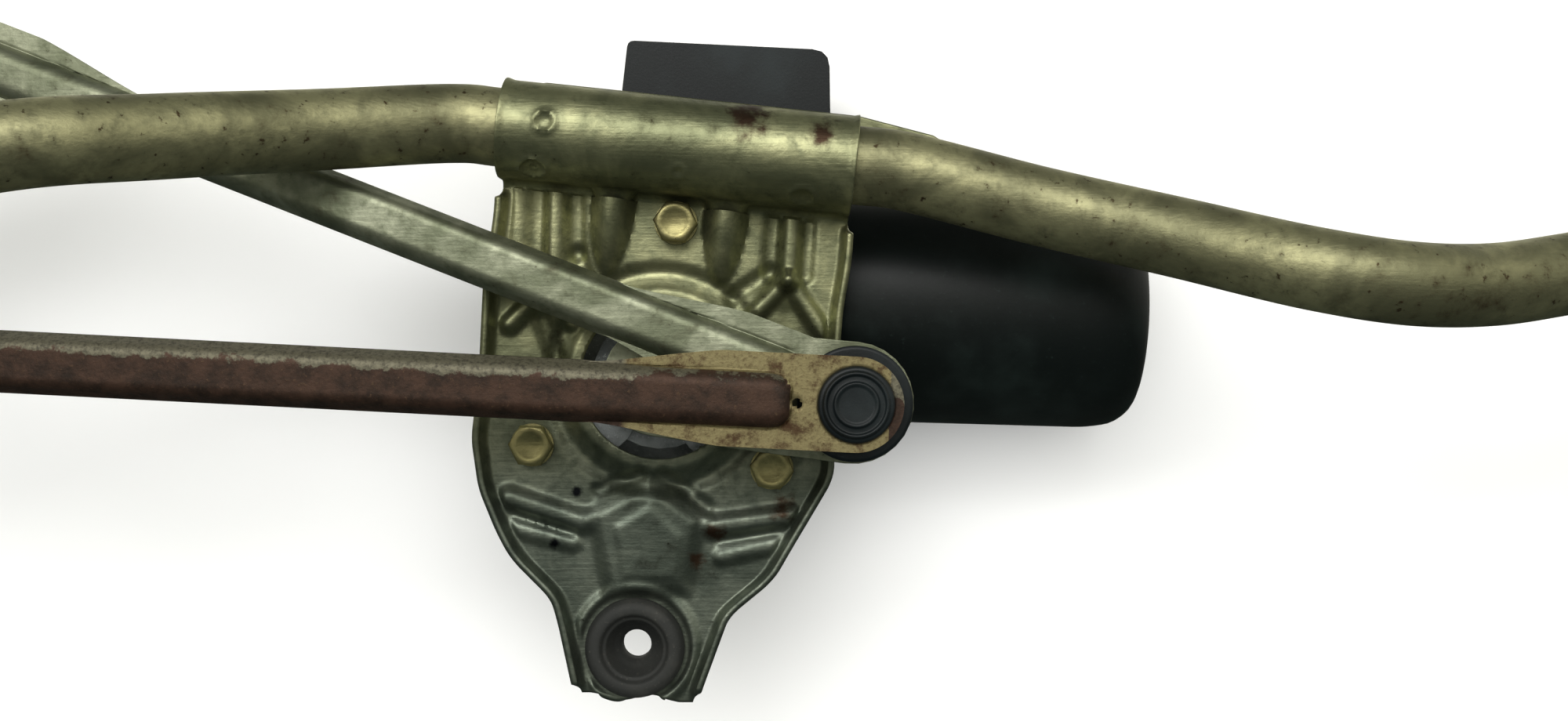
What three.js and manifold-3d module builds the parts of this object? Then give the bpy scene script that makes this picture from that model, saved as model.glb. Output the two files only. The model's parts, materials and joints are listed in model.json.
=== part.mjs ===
// Windshield wiper assembly: a bent steel frame tube carries the motor bracket in its middle, a
// spindle housing at its left end, a second spindle housing part of the way along and a foot at its
// right end. The motor's crank works two link rods, one to the lever of each spindle.
// Millimetres, +Z up (the way the wiper spindles point). The origin is the axis of the lower grommet,
// on the face of the grommet that rests on the car body.

import * as THREE from "three";
import { mergeVertices } from "three/addons/utils/BufferGeometryUtils.js";
import Module from "manifold-3d";

const wasm = await Module();
wasm.setup();

// ---- driving dimensions -------------------------------------------------------------------------

const GAP = 0.3; // clearance between neighbouring pieces
const DEG = Math.PI / 180;

// frame tube
const TUBE_RADIUS = 10;
const TUBE_WALL = 1.5;
const TUBE_STEPS = 52;

// bracket
const SHEET = 2; // thickness of the bracket sheet
const PLATE_Z = 6; // underside of the bracket plate
const LIP_HEIGHT = 5; // how far the side lips stand above the plate
const SADDLE_LENGTH = 90; // length of tube that the bracket wraps
const SADDLE_BEYOND = 49.7; // from the output shaft to the near side of the tube
const SADDLE_TURN = -6.1 * DEG; // the tube falls towards the right through the saddle
const HOLE_RADIUS = 20.5; // hole for the motor's output boss
const BEAD_HEIGHT = 1.4; // height of the ribs pressed into the plate
const GROMMET_HOLE = 9.5;

// motor
const SHAFT = new THREE.Vector2(6.3, 69.3); // output shaft axis, seen from the grommet
const SHAFT_RADIUS = 4;
const MOTOR_TURN = -1.7 * DEG; // the motor's long axis falls towards the right
const BOLT_RADIUS = 3;
const BOLT_HEAD = 10; // across the flats
const CAN_RADIUS = 32;
const CAN_WALL = 1.8;
const CAN_START = 39; // from the output shaft to the open end of the can
const CAN_END = 131; // from the output shaft to the closed end
const WORM_OFFSET = 21.5; // from the output shaft to the armature's axis
const ARMATURE_Z = -30; // height of the armature's axis
const GEARBOX_RADIUS = 31;
const GEARBOX_TOP = PLATE_Z - GAP;
const GEARBOX_BOTTOM = -42;
const ARMATURE_SHAFT = 3; // radius
const COVER_REACH = 92; // from the output shaft to the open end of the plug socket

// crank and link rods
const CRANK_RADIUS = 50;
const CRANK_ANGLE = -6.4 * DEG;
const ARM_THICKNESS = 5;
const ARM_LOW = PLATE_Z + 1; // underside of the arm at its hub
const ARM_HIGH = 15; // underside of the arm at its pin
const BALL_RADIUS = 4.8;
const NECK_RADIUS = 3.2; // stud between and under the balls
const REAR_BALL_Z = 27; // ball for the rear rod
const FRONT_BALL_Z = 37.5; // ball for the front rod
const ROD_SHEET = 1.5;
const ROD_HEIGHT = 5.5; // depth of a rod's pressed channel
const EYE_RADIUS = 11.6; // round end of a rod
const ROD_FLARE = 60; // from a ball to where the rod has its full narrowness
const SOCKET_RADIUS = 9;
const FRONT_ROD_LENGTH = 480;
const FRONT_ROD_WIDTH = 13.4;
const FRONT_ROD_ANGLE = 177.1 * DEG; // direction from the crank pin to the rod's far end
const REAR_ROD_LENGTH = 262;
const REAR_ROD_WIDTH = 12.4;
const REAR_ROD_ANGLE = 158.7 * DEG;
const REAR_ROD_FALL = 0.08; // the rear rod drops this much per unit of its length

// spindles
const LEVER_LENGTH = 69;
const LEVER_SHEET = 4;
const LEVER_GAP = 3.9; // from the ball socket up to the lever
const SPINDLE_RADIUS = 5;
const BUSH_WALL = 3;
const BUSH_LENGTH = 14;
const HOUSING_WALL = 4;
const HOUSING_ABOVE_TUBE = 24; // from the tube's axis to the top of a housing
const SPINDLE_ABOVE_HOUSING = 30;
const LUG_STEP = 4; // from the top of a housing down to its fixing lug
const LUG_REACH = 30; // from the spindle axis to the lug's hole
const LUG_HOLE = 4.2;
const LUG_THICKNESS = 6;
const TUBE_RISE = 60; // how far the tube climbs from the saddle to the housings
const TUBE_BESIDE = 25; // from the centre spindle's axis to the tube that passes it

// right foot
const FOOT_THICKNESS = 3;
const FOOT_LENGTH = 42;

// ---- places worked out from them ----------------------------------------------------------------

const TUBE_Z = PLATE_Z + TUBE_RADIUS; // tube axis through the saddle
const PLATE_TOP = PLATE_Z + SHEET;
const SADDLE = new THREE.Vector2(SHAFT.x + 5.6, SHAFT.y + SADDLE_BEYOND + TUBE_RADIUS);
const FITTED = TUBE_RADIUS + GAP; // bore that takes the tube
const BUSH_RADIUS = SPINDLE_RADIUS + GAP + BUSH_WALL;
const HOUSING_RADIUS = BUSH_RADIUS + GAP + HOUSING_WALL;
const SOCKET_HEIGHT = 2 * (BALL_RADIUS - 0.6);

// Motor bolts, as radius and direction from the output shaft.
const BOLTS = {
  top: { radius: 41, angle: 84 * DEG },
  left: { radius: 37, angle: 207 * DEG },
  right: { radius: 37, angle: -38 * DEG },
};

// A point a given distance from another in a direction.
function offset(point, distance, angle) {
  return new THREE.Vector2(point.x + distance * Math.cos(angle), point.y + distance * Math.sin(angle));
}

const PIN = offset(SHAFT, CRANK_RADIUS, CRANK_ANGLE);
const PIN_OPPOSITE = offset(SHAFT, -CRANK_RADIUS, CRANK_ANGLE);

// A rod's far end at rest, and the spindle that lies one lever length from it both at rest and after
// half a turn of the crank. side is +1 where the spindle is above the rod.
function linkage(length, angle, side) {
  const end = offset(PIN, length, angle);
  const stroke = PIN_OPPOSITE.clone().sub(PIN).rotateAround(new THREE.Vector2(), -angle);
  const travel = stroke.x - length + Math.sqrt(length ** 2 - stroke.y ** 2);
  const middle = offset(end, travel / 2, angle);
  const standoff = Math.sqrt(LEVER_LENGTH ** 2 - (travel / 2) ** 2);
  const spindle = offset(middle, -side * standoff, angle + Math.PI / 2);
  return { end, spindle, leverAngle: Math.atan2(end.y - spindle.y, end.x - spindle.x) };
}

const LEFT = linkage(FRONT_ROD_LENGTH, FRONT_ROD_ANGLE, 1);
const CENTRE = linkage(REAR_ROD_LENGTH, REAR_ROD_ANGLE, -1);

// Rod plates: middle of the sheet at each end.
const REAR_ROD_END_Z = REAR_BALL_Z - REAR_ROD_FALL * REAR_ROD_LENGTH;
const LEFT_SOCKET_Z = FRONT_BALL_Z + ROD_SHEET / 2 + GAP;
const CENTRE_SOCKET_Z = REAR_ROD_END_Z + ROD_SHEET / 2 + REAR_ROD_FALL * EYE_RADIUS + GAP;
const TUBE_TOP_Z = TUBE_Z + TUBE_RISE;
const HOUSING_TOP = TUBE_TOP_Z + HOUSING_ABOVE_TUBE;
const SPINDLE_TOP = HOUSING_TOP + SPINDLE_ABOVE_HOUSING;
const LUG_TOP = HOUSING_TOP - LUG_STEP;

// ---- materials ----------------------------------------------------------------------------------

function paint(color, roughness, metalness) {
  return new THREE.MeshStandardMaterial({ color, roughness, metalness });
}

const zincTube = paint(0x96947d, 0.45, 0.9);
const zincSheet = paint(0x8d8a66, 0.45, 0.9);
const zincScrew = paint(0xb0a26a, 0.35, 0.9);
const brownSteel = paint(0x4b3228, 0.7, 0.5);
const greySteel = paint(0x8c9682, 0.45, 0.9);
const darkSteel = paint(0x4a4d4e, 0.5, 0.8);
const castAluminium = paint(0x8f9294, 0.5, 0.9);
const blackPlastic = paint(0x141618, 0.5, 0);
const blackPaint = paint(0x101214, 0.4, 0.1);
const rubber = paint(0x232527, 0.85, 0);
const nylon = paint(0xd8d4c4, 0.45, 0);
const bronze = paint(0xa07840, 0.5, 0.9);
const copper = paint(0xb06a3c, 0.4, 0.9);
const ferrite = paint(0x3a3a3c, 0.8, 0);
const carbon = paint(0x1c1c1c, 0.8, 0);

// ---- solid helpers ------------------------------------------------------------------------------

// A closed geometry as a solid that can be joined and cut.
function solid(geometry) {
  const bare = geometry.clone();
  for (const name of ["normal", "uv"]) bare.deleteAttribute(name);
  const merged = mergeVertices(bare, 1e-4);
  const index = merged.index.array;
  const kept = [];
  for (let i = 0; i < index.length; i += 3) {
    const [a, b, c] = index.slice(i, i + 3);
    if (a !== b && b !== c && c !== a) kept.push(a, b, c);
  }
  return new wasm.Manifold(new wasm.Mesh({
    numProp: 3,
    vertProperties: new Float32Array(merged.attributes.position.array),
    triVerts: new Uint32Array(kept),
  }));
}

// A solid as a geometry for a mesh.
function shell(body) {
  const { vertProperties, triVerts } = body.getMesh();
  const geometry = new THREE.BufferGeometry();
  geometry.setAttribute("position", new THREE.BufferAttribute(new Float32Array(vertProperties), 3));
  geometry.setIndex(new THREE.BufferAttribute(new Uint32Array(triVerts), 1));
  geometry.computeVertexNormals();
  return geometry;
}

// The first geometry with the others joined to it.
function join(first, ...others) {
  return shell(others.reduce((body, other) => body.add(solid(other)), solid(first)));
}

// The first geometry with the others cut away from it.
function cut(first, ...others) {
  return shell(others.reduce((body, other) => body.subtract(solid(other)), solid(first)));
}

// A turned piece about Z. The profile lists [radius, height] anticlockwise: up the outside.
function turned(profile, sides = 14) {
  const points = profile.map(([radius, height]) => new THREE.Vector2(radius, height));
  return new THREE.LatheGeometry(points, sides).rotateX(Math.PI / 2);
}

// A disc or plain pin standing on a height.
function disc(radius, low, high, sides = 14) {
  return turned([[0, low], [radius, low], [radius, high], [0, high]], sides);
}

// A plain ring.
function ring(inner, outer, low, high, sides = 14) {
  return turned([[inner, low], [outer, low], [outer, high], [inner, high], [inner, low]], sides);
}

// A flat outline given some thickness.
function plate(shape, low, high, curveSegments = 4) {
  const options = { depth: high - low, bevelEnabled: false, curveSegments };
  return new THREE.ExtrudeGeometry(shape, options).translate(0, 0, low);
}

// A block between two corners.
function block(low, high) {
  const size = high.map((value, axis) => value - low[axis]);
  const middle = high.map((value, axis) => (value + low[axis]) / 2);
  return new THREE.BoxGeometry(...size).translate(...middle);
}

// A hexagon across its flats.
function hexagon(acrossFlats) {
  const points = [];
  const reach = acrossFlats / 2 / Math.cos(30 * DEG);
  for (let i = 0; i < 6; i++) points.push(offset({ x: 0, y: 0 }, reach, i * 60 * DEG));
  return new THREE.Shape(points);
}

// A strip with round ends of two radii, from one point to another.
function strap(from, fromRadius, to, toRadius) {
  const angle = Math.atan2(to.y - from.y, to.x - from.x);
  const spread = Math.acos((fromRadius - toRadius) / Math.hypot(to.x - from.x, to.y - from.y));
  const shape = new THREE.Shape();
  shape.absarc(from.x, from.y, fromRadius, angle + spread, angle - spread + 2 * Math.PI, false);
  shape.absarc(to.x, to.y, toRadius, angle - spread, angle + spread, false);
  return shape;
}

// A corner list of [x, y, radius] as points, with each corner rounded by an arc.
function roundedCorners(corners, steps = 3) {
  const points = [];
  corners.forEach(([x, y, radius], i) => {
    const corner = new THREE.Vector2(x, y);
    const before = new THREE.Vector2(...corners.at(i - 1)).sub(corner);
    const after = new THREE.Vector2(...corners[(i + 1) % corners.length]).sub(corner);
    const half = before.angleTo(after) / 2;
    const run = Math.min(radius / Math.tan(half), before.length() * 0.45, after.length() * 0.45);
    const start = corner.clone().addScaledVector(before.normalize(), run);
    const finish = corner.clone().addScaledVector(after.normalize(), run);
    const curve = new THREE.QuadraticBezierCurve(start, corner, finish);
    points.push(...curve.getPoints(steps));
  });
  return points;
}

// Points of an anticlockwise outline moved inwards by a distance.
function inset(points, distance) {
  return points.map((point, i) => {
    const before = point.clone().sub(points.at(i - 1)).normalize();
    const after = points[(i + 1) % points.length].clone().sub(point).normalize();
    const normal = new THREE.Vector2(-before.y - after.y, before.x + after.x).normalize();
    const lean = Math.max(0.5, -normal.x * before.y + normal.y * before.x);
    return point.clone().addScaledVector(normal, distance / lean);
  });
}

// ---- frame: tube, bracket, strap, grommets ------------------------------------------------------

// A point of the saddle: along the tube, across it, and above the tube's axis.
function saddlePoint(along, across, above = 0) {
  const turn = new THREE.Vector2(along, across).rotateAround(new THREE.Vector2(), SADDLE_TURN);
  return new THREE.Vector3(SADDLE.x + turn.x, SADDLE.y + turn.y, TUBE_Z + above);
}

// A bend of the tube: from the output shaft, and above the tube's axis in the saddle.
function bend(x, y, rise) {
  return new THREE.Vector3(SHAFT.x + x, SHAFT.y + y, TUBE_Z + rise);
}

const TUBE_LEFT_END = new THREE.Vector3(LEFT.spindle.x + HOUSING_RADIUS + 2, LEFT.spindle.y - 2, TUBE_TOP_Z);
const TUBE_RIGHT_END = bend(250, 31, 19);
const STRAIGHT = SADDLE_LENGTH / 2 + 1;

// A point of the level run beside the centre spindle.
function besideCentre(along, across = 0) {
  return new THREE.Vector3(CENTRE.spindle.x + along, CENTRE.spindle.y - TUBE_BESIDE + across, TUBE_TOP_Z);
}

// A point of the straight run that enters the left housing.
function leftRun(along) {
  const fall = -9 * DEG;
  return TUBE_LEFT_END.clone().add(new THREE.Vector3(along * Math.cos(fall), along * Math.sin(fall), 0));
}

const tubePath = new THREE.CatmullRomCurve3([
  TUBE_LEFT_END,
  leftRun(36),
  leftRun(46),
  besideCentre(-70, 4),
  besideCentre(-34),
  besideCentre(-26),
  besideCentre(26),
  besideCentre(34),
  besideCentre(66, 6),
  bend(-140, 52.7, TUBE_RISE - 5),
  bend(-114, 57.3, 36),
  bend(-83, 62, 14),
  saddlePoint(-STRAIGHT - 9, 0),
  saddlePoint(-STRAIGHT, 0),
  saddlePoint(STRAIGHT, 0),
  saddlePoint(STRAIGHT + 9, 0),
  bend(98, 44, 3),
  bend(130, 35.7, 11),
  bend(160, 26.8, 27),
  bend(181, 23.3, 30),
  bend(203, 23.4, 24),
  bend(222, 26, 19.2),
  bend(236, 28.5, 19),
  TUBE_RIGHT_END,
], false, "centripetal");

// A polygon of a given radius, as points.
function polygon(radius, sides) {
  const points = [];
  for (let i = 0; i < sides; i++) points.push(offset({ x: 0, y: 0 }, radius, (i / sides) * 2 * Math.PI));
  return points;
}

function frameTube() {
  const section = new THREE.Shape(polygon(TUBE_RADIUS, 12));
  section.holes.push(new THREE.Path(polygon(TUBE_RADIUS - TUBE_WALL, 6)));
  const options = { steps: TUBE_STEPS, extrudePath: tubePath, bevelEnabled: false };
  return new THREE.ExtrudeGeometry(section, options);
}

// The sheet over the tube: up the near side, over the top and down the far side. The near side's
// wall reaches the underside of the plate.
function saddleWrap() {
  const outer = FITTED + SHEET;
  const section = new THREE.Shape();
  section.moveTo(-outer, PLATE_Z - TUBE_Z);
  section.lineTo(-FITTED, PLATE_Z - TUBE_Z);
  section.absarc(0, 0, FITTED, Math.PI, -30 * DEG, true);
  section.absarc(0, 0, outer, -30 * DEG, Math.PI, false);
  const wrap = plate(section, -SADDLE_LENGTH / 2, SADDLE_LENGTH / 2, 8);
  return wrap.rotateZ(Math.PI / 2).rotateY(Math.PI / 2);
}

// Corners of the plate below the saddle, anticlockwise, from the output shaft: the left side down
// past its bolt, the tongue that holds the grommet, and the right side up past its bolt.
const TONGUE_END = -SHAFT.y - 16;
const PLATE_CORNERS = [
  [-44.7, 2, 20], [-47.5, -20, 10], [-43, -38, 12], [-26, -54, 8], [-23, -67, 6],
  [-22, TONGUE_END, 11], [10, TONGUE_END, 11],
  [16, -60, 8], [30, -50, 8], [44.8, -22, 5], [42.3, -13, 8], [46, 10, 20],
];

function plateOutline() {
  const wall = -FITTED;
  const ends = [-SADDLE_LENGTH / 2 + 1, SADDLE_LENGTH / 2 - 1].map((along) => saddlePoint(along, wall));
  const corners = PLATE_CORNERS.map(([x, y, radius]) => [SHAFT.x + x, SHAFT.y + y, radius]);
  return roundedCorners([[ends[0].x, ends[0].y, 5], ...corners, [ends[1].x, ends[1].y, 5]]);
}

// A round rib between two places on the plate.
function rib(from, to, width) {
  return plate(strap(from, width / 2, to, width / 2), PLATE_TOP - SHEET / 2, PLATE_TOP + BEAD_HEIGHT, 4);
}

function fromShaft(x, y) {
  return new THREE.Vector2(SHAFT.x + x, SHAFT.y + y);
}

// A dart from the saddle wall down to the plate, as a leaning cone.
function dart(along) {
  const top = saddlePoint(along, -FITTED, 2);
  const foot = saddlePoint(along, -FITTED - SHEET - 16, PLATE_TOP - TUBE_Z - 1);
  const length = top.distanceTo(foot);
  const cone = new THREE.CylinderGeometry(5.4, 3.4, length, 10);
  const turn = new THREE.Quaternion().setFromUnitVectors(
    new THREE.Vector3(0, 1, 0), top.clone().sub(foot).normalize());
  const middle = top.add(foot).multiplyScalar(0.5);
  return cone.applyQuaternion(turn).translate(middle.x, middle.y, middle.z);
}

function motorBracket() {
  const outline = plateOutline();
  const sheet = plate(new THREE.Shape(outline), PLATE_Z, PLATE_TOP);
  const lips = cut(
    plate(new THREE.Shape(outline), PLATE_Z, PLATE_TOP + LIP_HEIGHT),
    plate(new THREE.Shape(inset(outline, SHEET)), PLATE_Z - 1, PLATE_TOP + LIP_HEIGHT + 1));
  const wrap = saddleWrap().rotateZ(SADDLE_TURN).translate(SADDLE.x, SADDLE.y, TUBE_Z);
  const bead = ring(HOLE_RADIUS + 3, HOLE_RADIUS + 7, PLATE_TOP - 1, PLATE_TOP + BEAD_HEIGHT, 24);
  bead.translate(SHAFT.x, SHAFT.y, 0);
  const ribs = [
    rib(fromShaft(-36, -34), fromShaft(-21, -38), 5),
    rib(fromShaft(16, -38), fromShaft(31, -36.5), 5),
    rib(fromShaft(19, -44), fromShaft(27, -43), 4),
    rib(fromShaft(-22, 28), fromShaft(-27, 12), 5),
    rib(fromShaft(32, 34), fromShaft(33, 18), 5),
  ];
  const boss = roundedCorners([
    [-16, -35, 2], [-9, -52, 2], [7, -52, 2], [12, -36, 2], [-2, -30, 3],
  ].map(([x, y, radius]) => [SHAFT.x + x, SHAFT.y + y, radius]), 3);
  const joined = join(sheet, lips, wrap, dart(-18), dart(14), bead, ...ribs,
    plate(new THREE.Shape(boss), PLATE_TOP - 1, PLATE_TOP + BEAD_HEIGHT));
  const holes = Object.values(BOLTS).map(({ radius, angle }) => {
    const place = offset(SHAFT, radius, angle);
    return disc(BOLT_RADIUS + GAP, 0, TUBE_Z, 12).translate(place.x, place.y, 0);
  });
  const tubeBore = disc(FITTED, -SADDLE_LENGTH, SADDLE_LENGTH, 24).rotateY(Math.PI / 2);
  tubeBore.rotateZ(SADDLE_TURN).translate(SADDLE.x, SADDLE.y, TUBE_Z);
  return cut(joined, ...holes, tubeBore,
    disc(HOLE_RADIUS, 0, TUBE_Z, 24).translate(SHAFT.x, SHAFT.y, 0),
    disc(GROMMET_HOLE, 0, TUBE_Z));
}

// The strip under the tube that closes the saddle, welded to the bracket at its far edge. It tapers
// where it follows the tube past the saddle.
function rearStrap() {
  const low = -TUBE_RADIUS - GAP - SHEET;
  const half = SADDLE_LENGTH / 2;
  const outline = roundedCorners([
    [-half + 6, -FITTED + 2, 2], [half + 24, -FITTED + 2, 2], [half + 26, FITTED - 2, 3],
    [half + 20, FITTED + 1, 2], [half, FITTED + 4, 4], [-half + 6, FITTED + 4, 2],
  ]);
  const strip = plate(new THREE.Shape(outline), low, low + SHEET);
  return strip.rotateZ(SADDLE_TURN).translate(SADDLE.x, SADDLE.y, TUBE_Z);
}

// A rubber grommet held in a sheet: two flanges, a waist, and a funnel down to the bolt hole.
function grommet(sheetLow, sheetHigh) {
  const waist = GROMMET_HOLE - GAP;
  return turned([
    [3.7, 0], [13.2, 0], [13.9, 1.5], [13.9, sheetLow - GAP], [waist, sheetLow - GAP],
    [waist, sheetHigh + GAP], [12.9, sheetHigh + GAP], [12.9, sheetHigh + 3], [11.6, sheetHigh + 5],
    [8.4, sheetHigh + 5], [3.7, sheetLow], [3.7, 0],
  ]);
}

// ---- motor bolts --------------------------------------------------------------------------------

function motorBolt() {
  const seat = PLATE_TOP + GAP;
  const head = plate(hexagon(BOLT_HEAD), seat + 1, seat + 5.2);
  const washer = disc(BOLT_HEAD / 2 + 0.6, seat, seat + 1.2);
  return join(washer, head, disc(BOLT_RADIUS, seat - 20, seat + 0.5, 12));
}

// ---- motor: shells and fixed inner pieces -------------------------------------------------------
// Local axes: X along the armature, Z up, origin on the output shaft's axis at height zero.

// A turned piece laid along the armature's axis.
function alongArmature(geometry) {
  return geometry.rotateY(Math.PI / 2).translate(0, WORM_OFFSET, ARMATURE_Z);
}

const WORM_RADIUS = 5.5;
const WHEEL_RADIUS = WORM_OFFSET - WORM_RADIUS - GAP;
const WHEEL_TEETH = 24;
const TUNNEL_RADIUS = WORM_RADIUS + 2;
const COVER_SHEET = 2.5;

function gearboxHousing() {
  const bosses = Object.values(BOLTS).map(({ radius, angle }) => {
    const place = offset({ x: 0, y: 0 }, radius, angle - MOTOR_TURN);
    const root = offset(place, -radius * 0.5, angle);
    return plate(strap(root, 10, place, 7.5), GEARBOX_TOP - 16, GEARBOX_TOP, 6);
  });
  const body = disc(GEARBOX_RADIUS, GEARBOX_BOTTOM, -8, 24);
  const nose = disc(18, -9, GEARBOX_TOP - 1, 24);
  const tunnel = alongArmature(disc(TUNNEL_RADIUS + 4, -30, CAN_START - GAP, 16));
  const flange = alongArmature(disc(CAN_RADIUS - CAN_WALL - GAP, CAN_START - 6, CAN_START - GAP, 20));
  const screws = Object.values(BOLTS).map(({ radius, angle }) => {
    const place = offset({ x: 0, y: 0 }, radius, angle - MOTOR_TURN);
    return disc(BOLT_RADIUS + GAP, -40, 20, 12).translate(place.x, place.y, 0);
  });
  return cut(join(body, nose, tunnel, flange, ...bosses), ...screws,
    disc(WHEEL_RADIUS + 2, GEARBOX_BOTTOM - 5, -12, 18),
    disc(SHAFT_RADIUS + 3 + GAP, -20, 20, 20),
    alongArmature(disc(TUNNEL_RADIUS, -24, CAN_START + 5, 16)));
}

// The plastic lid on the gearbox. Its plug socket reaches out past the tube, and is wider beyond the
// end of the can.
function gearCover() {
  const low = GEARBOX_BOTTOM - GAP - COVER_SHEET;
  const pastCan = WORM_OFFSET + CAN_RADIUS + 2;
  const lid = disc(GEARBOX_RADIUS, low, low + COVER_SHEET, 24);
  const neck = block([-13, 10, low], [30, GEARBOX_RADIUS + 10, low + COVER_SHEET]);
  const root = block([-13, GEARBOX_RADIUS + 7, low], [30, pastCan + 1, -12]);
  const rim = [[-16, pastCan, 2], [43.5, pastCan, 2], [42, COVER_REACH - 1, 5], [-13, COVER_REACH, 2]];
  const socket = plate(new THREE.Shape(roundedCorners(rim)), low, -12);
  const cavity = block([-10, COVER_REACH - 34, low + 3], [39, COVER_REACH + 1, -15]);
  return cut(join(lid, neck, root, socket), cavity);
}

function terminalBlade(place) {
  return block([place - 3, COVER_REACH - 33.7, -25.4], [place + 3, COVER_REACH - 12, -24.6]);
}

function outputBush() {
  return ring(SHAFT_RADIUS + GAP, SHAFT_RADIUS + 3, -8, PLATE_Z - 2, 20);
}

// The deep-drawn steel can, open towards the gearbox and rounded at its far end.
function motorCan() {
  const inner = CAN_RADIUS - CAN_WALL;
  return alongArmature(turned([
    [inner, CAN_START], [CAN_RADIUS, CAN_START], [CAN_RADIUS, CAN_END - 8], [CAN_RADIUS - 2.3, CAN_END - 2.3],
    [CAN_RADIUS - 8, CAN_END], [0, CAN_END], [0, CAN_END - CAN_WALL],
    [inner - 7, CAN_END - CAN_WALL],
    [inner - 1.5, CAN_END - 3.5 - CAN_WALL], [inner, CAN_END - 8 - CAN_WALL], [inner, CAN_START],
  ], 24));
}

const MAGNET_OUTER = CAN_RADIUS - CAN_WALL - GAP;
const MAGNET_INNER = MAGNET_OUTER - 6;
const MAGNET_START = CAN_START + 22;
const MAGNET_END = CAN_END - 16;

// An arc magnet against the inside of the can.
function magnet(middle) {
  const arc = new THREE.Shape();
  arc.absarc(0, 0, MAGNET_OUTER, middle - 60 * DEG, middle + 60 * DEG, false);
  arc.absarc(0, 0, MAGNET_INNER, middle + 60 * DEG, middle - 60 * DEG, true);
  return alongArmature(plate(arc, MAGNET_START, MAGNET_END, 8));
}

const COMMUTATOR_RADIUS = 7;
const BRUSH_X = CAN_START + 12;

function brushPlate() {
  const outer = CAN_RADIUS - CAN_WALL - GAP;
  return alongArmature(ring(COMMUTATOR_RADIUS + 2, outer, CAN_START + 3, CAN_START + 6, 20));
}

// A carbon brush standing against the commutator.
function brush(side) {
  const low = COMMUTATOR_RADIUS + GAP;
  const high = CAN_RADIUS - CAN_WALL - 4;
  const [from, to] = side > 0 ? [low, high] : [-high, -low];
  return block(
    [BRUSH_X - 3, WORM_OFFSET + from, ARMATURE_Z - 3],
    [BRUSH_X + 3, WORM_OFFSET + to, ARMATURE_Z + 3]);
}

function armatureBush() {
  return alongArmature(ring(ARMATURE_SHAFT + GAP, 9, CAN_END - 10, CAN_END - CAN_WALL - GAP, 20));
}

// ---- armature -----------------------------------------------------------------------------------

// The shaft with the worm rolled on its end.
function armatureShaft() {
  const worm = [[ARMATURE_SHAFT, -18], [WORM_RADIUS - 1, -18]];
  for (let x = -16; x < 16; x += 4) worm.push([WORM_RADIUS, x], [WORM_RADIUS - 1.6, x + 2]);
  return alongArmature(turned([
    [0, -22], [ARMATURE_SHAFT, -22], ...worm, [ARMATURE_SHAFT, 18],
    [ARMATURE_SHAFT, CAN_END - 3], [0, CAN_END - 3],
  ], 10));
}

// The laminated core, with slots for its windings.
function armatureCore() {
  const outer = MAGNET_INNER - 1.2;
  const slots = [];
  for (let i = 0; i < 8; i++) {
    const slot = block([outer - 7, -2, 0], [outer + 2, 2, 200]);
    slots.push(slot.rotateZ(i * 45 * DEG));
  }
  const core = cut(ring(ARMATURE_SHAFT + GAP, outer, MAGNET_START + 4, MAGNET_END - 4, 16), ...slots);
  return alongArmature(core);
}

function winding() {
  const end = MAGNET_START + 4 - GAP;
  return alongArmature(ring(ARMATURE_SHAFT + GAP, MAGNET_INNER - 6, MAGNET_START - 6, end, 20));
}

function commutator() {
  return alongArmature(ring(ARMATURE_SHAFT + GAP, COMMUTATOR_RADIUS, CAN_START + 7, CAN_START + 15, 20));
}

// ---- crank --------------------------------------------------------------------------------------

const ARM_TOP = ARM_LOW + ARM_THICKNESS;
const NUT_FLATS = 13;

function outputShaft() {
  const top = ARM_TOP + GAP + 6.9;
  return turned([
    [0, ARMATURE_Z - 8], [SHAFT_RADIUS, ARMATURE_Z - 8], [SHAFT_RADIUS, top - 1],
    [SHAFT_RADIUS - 1, top], [0, top],
  ], 12);
}

// The plastic wheel on the output shaft, with its teeth round the rim.
function wormWheel() {
  const points = [];
  for (let i = 0; i < WHEEL_TEETH * 2; i++) {
    const radius = i % 2 ? WHEEL_RADIUS : WHEEL_RADIUS - 1.5;
    for (const side of [-0.3, 0.3]) {
      points.push(offset({ x: 0, y: 0 }, radius, ((i + side) * Math.PI) / WHEEL_TEETH));
    }
  }
  const rim = plate(new THREE.Shape(points), ARMATURE_Z - 6, ARMATURE_Z + 6);
  return cut(join(rim, disc(SHAFT_RADIUS + 4, ARMATURE_Z - 7, ARMATURE_Z + 9)),
    disc(SHAFT_RADIUS + GAP, ARMATURE_Z - 20, ARMATURE_Z + 20, 12));
}

// The joggled arm: its hub sits in the bracket's hole and its far end passes over the bolt heads.
function crankArm() {
  const plan = strap({ x: 0, y: 0 }, 14.5, { x: CRANK_RADIUS, y: 0 }, 15.5);
  const side = new THREE.Shape([
    [-20, ARM_LOW], [11, ARM_LOW], [22, ARM_HIGH], [80, ARM_HIGH],
    [80, ARM_HIGH + ARM_THICKNESS], [20, ARM_HIGH + ARM_THICKNESS], [9, ARM_TOP], [-20, ARM_TOP],
  ].map(([x, z]) => new THREE.Vector2(x, z)));
  const band = plate(side, -30, 30).rotateX(Math.PI / 2);
  const arm = solid(plate(plan, 0, 60, 7)).intersect(solid(band));
  return cut(shell(arm), disc(SHAFT_RADIUS + GAP, 0, 40, 12),
    disc(NECK_RADIUS + GAP, 0, 40, 12).translate(CRANK_RADIUS, 0, 0));
}

function crankNut() {
  const seat = ARM_TOP + GAP;
  return cut(plate(hexagon(NUT_FLATS), seat, seat + 5.5), disc(SHAFT_RADIUS + GAP, 0, 40, 12));
}

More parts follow.
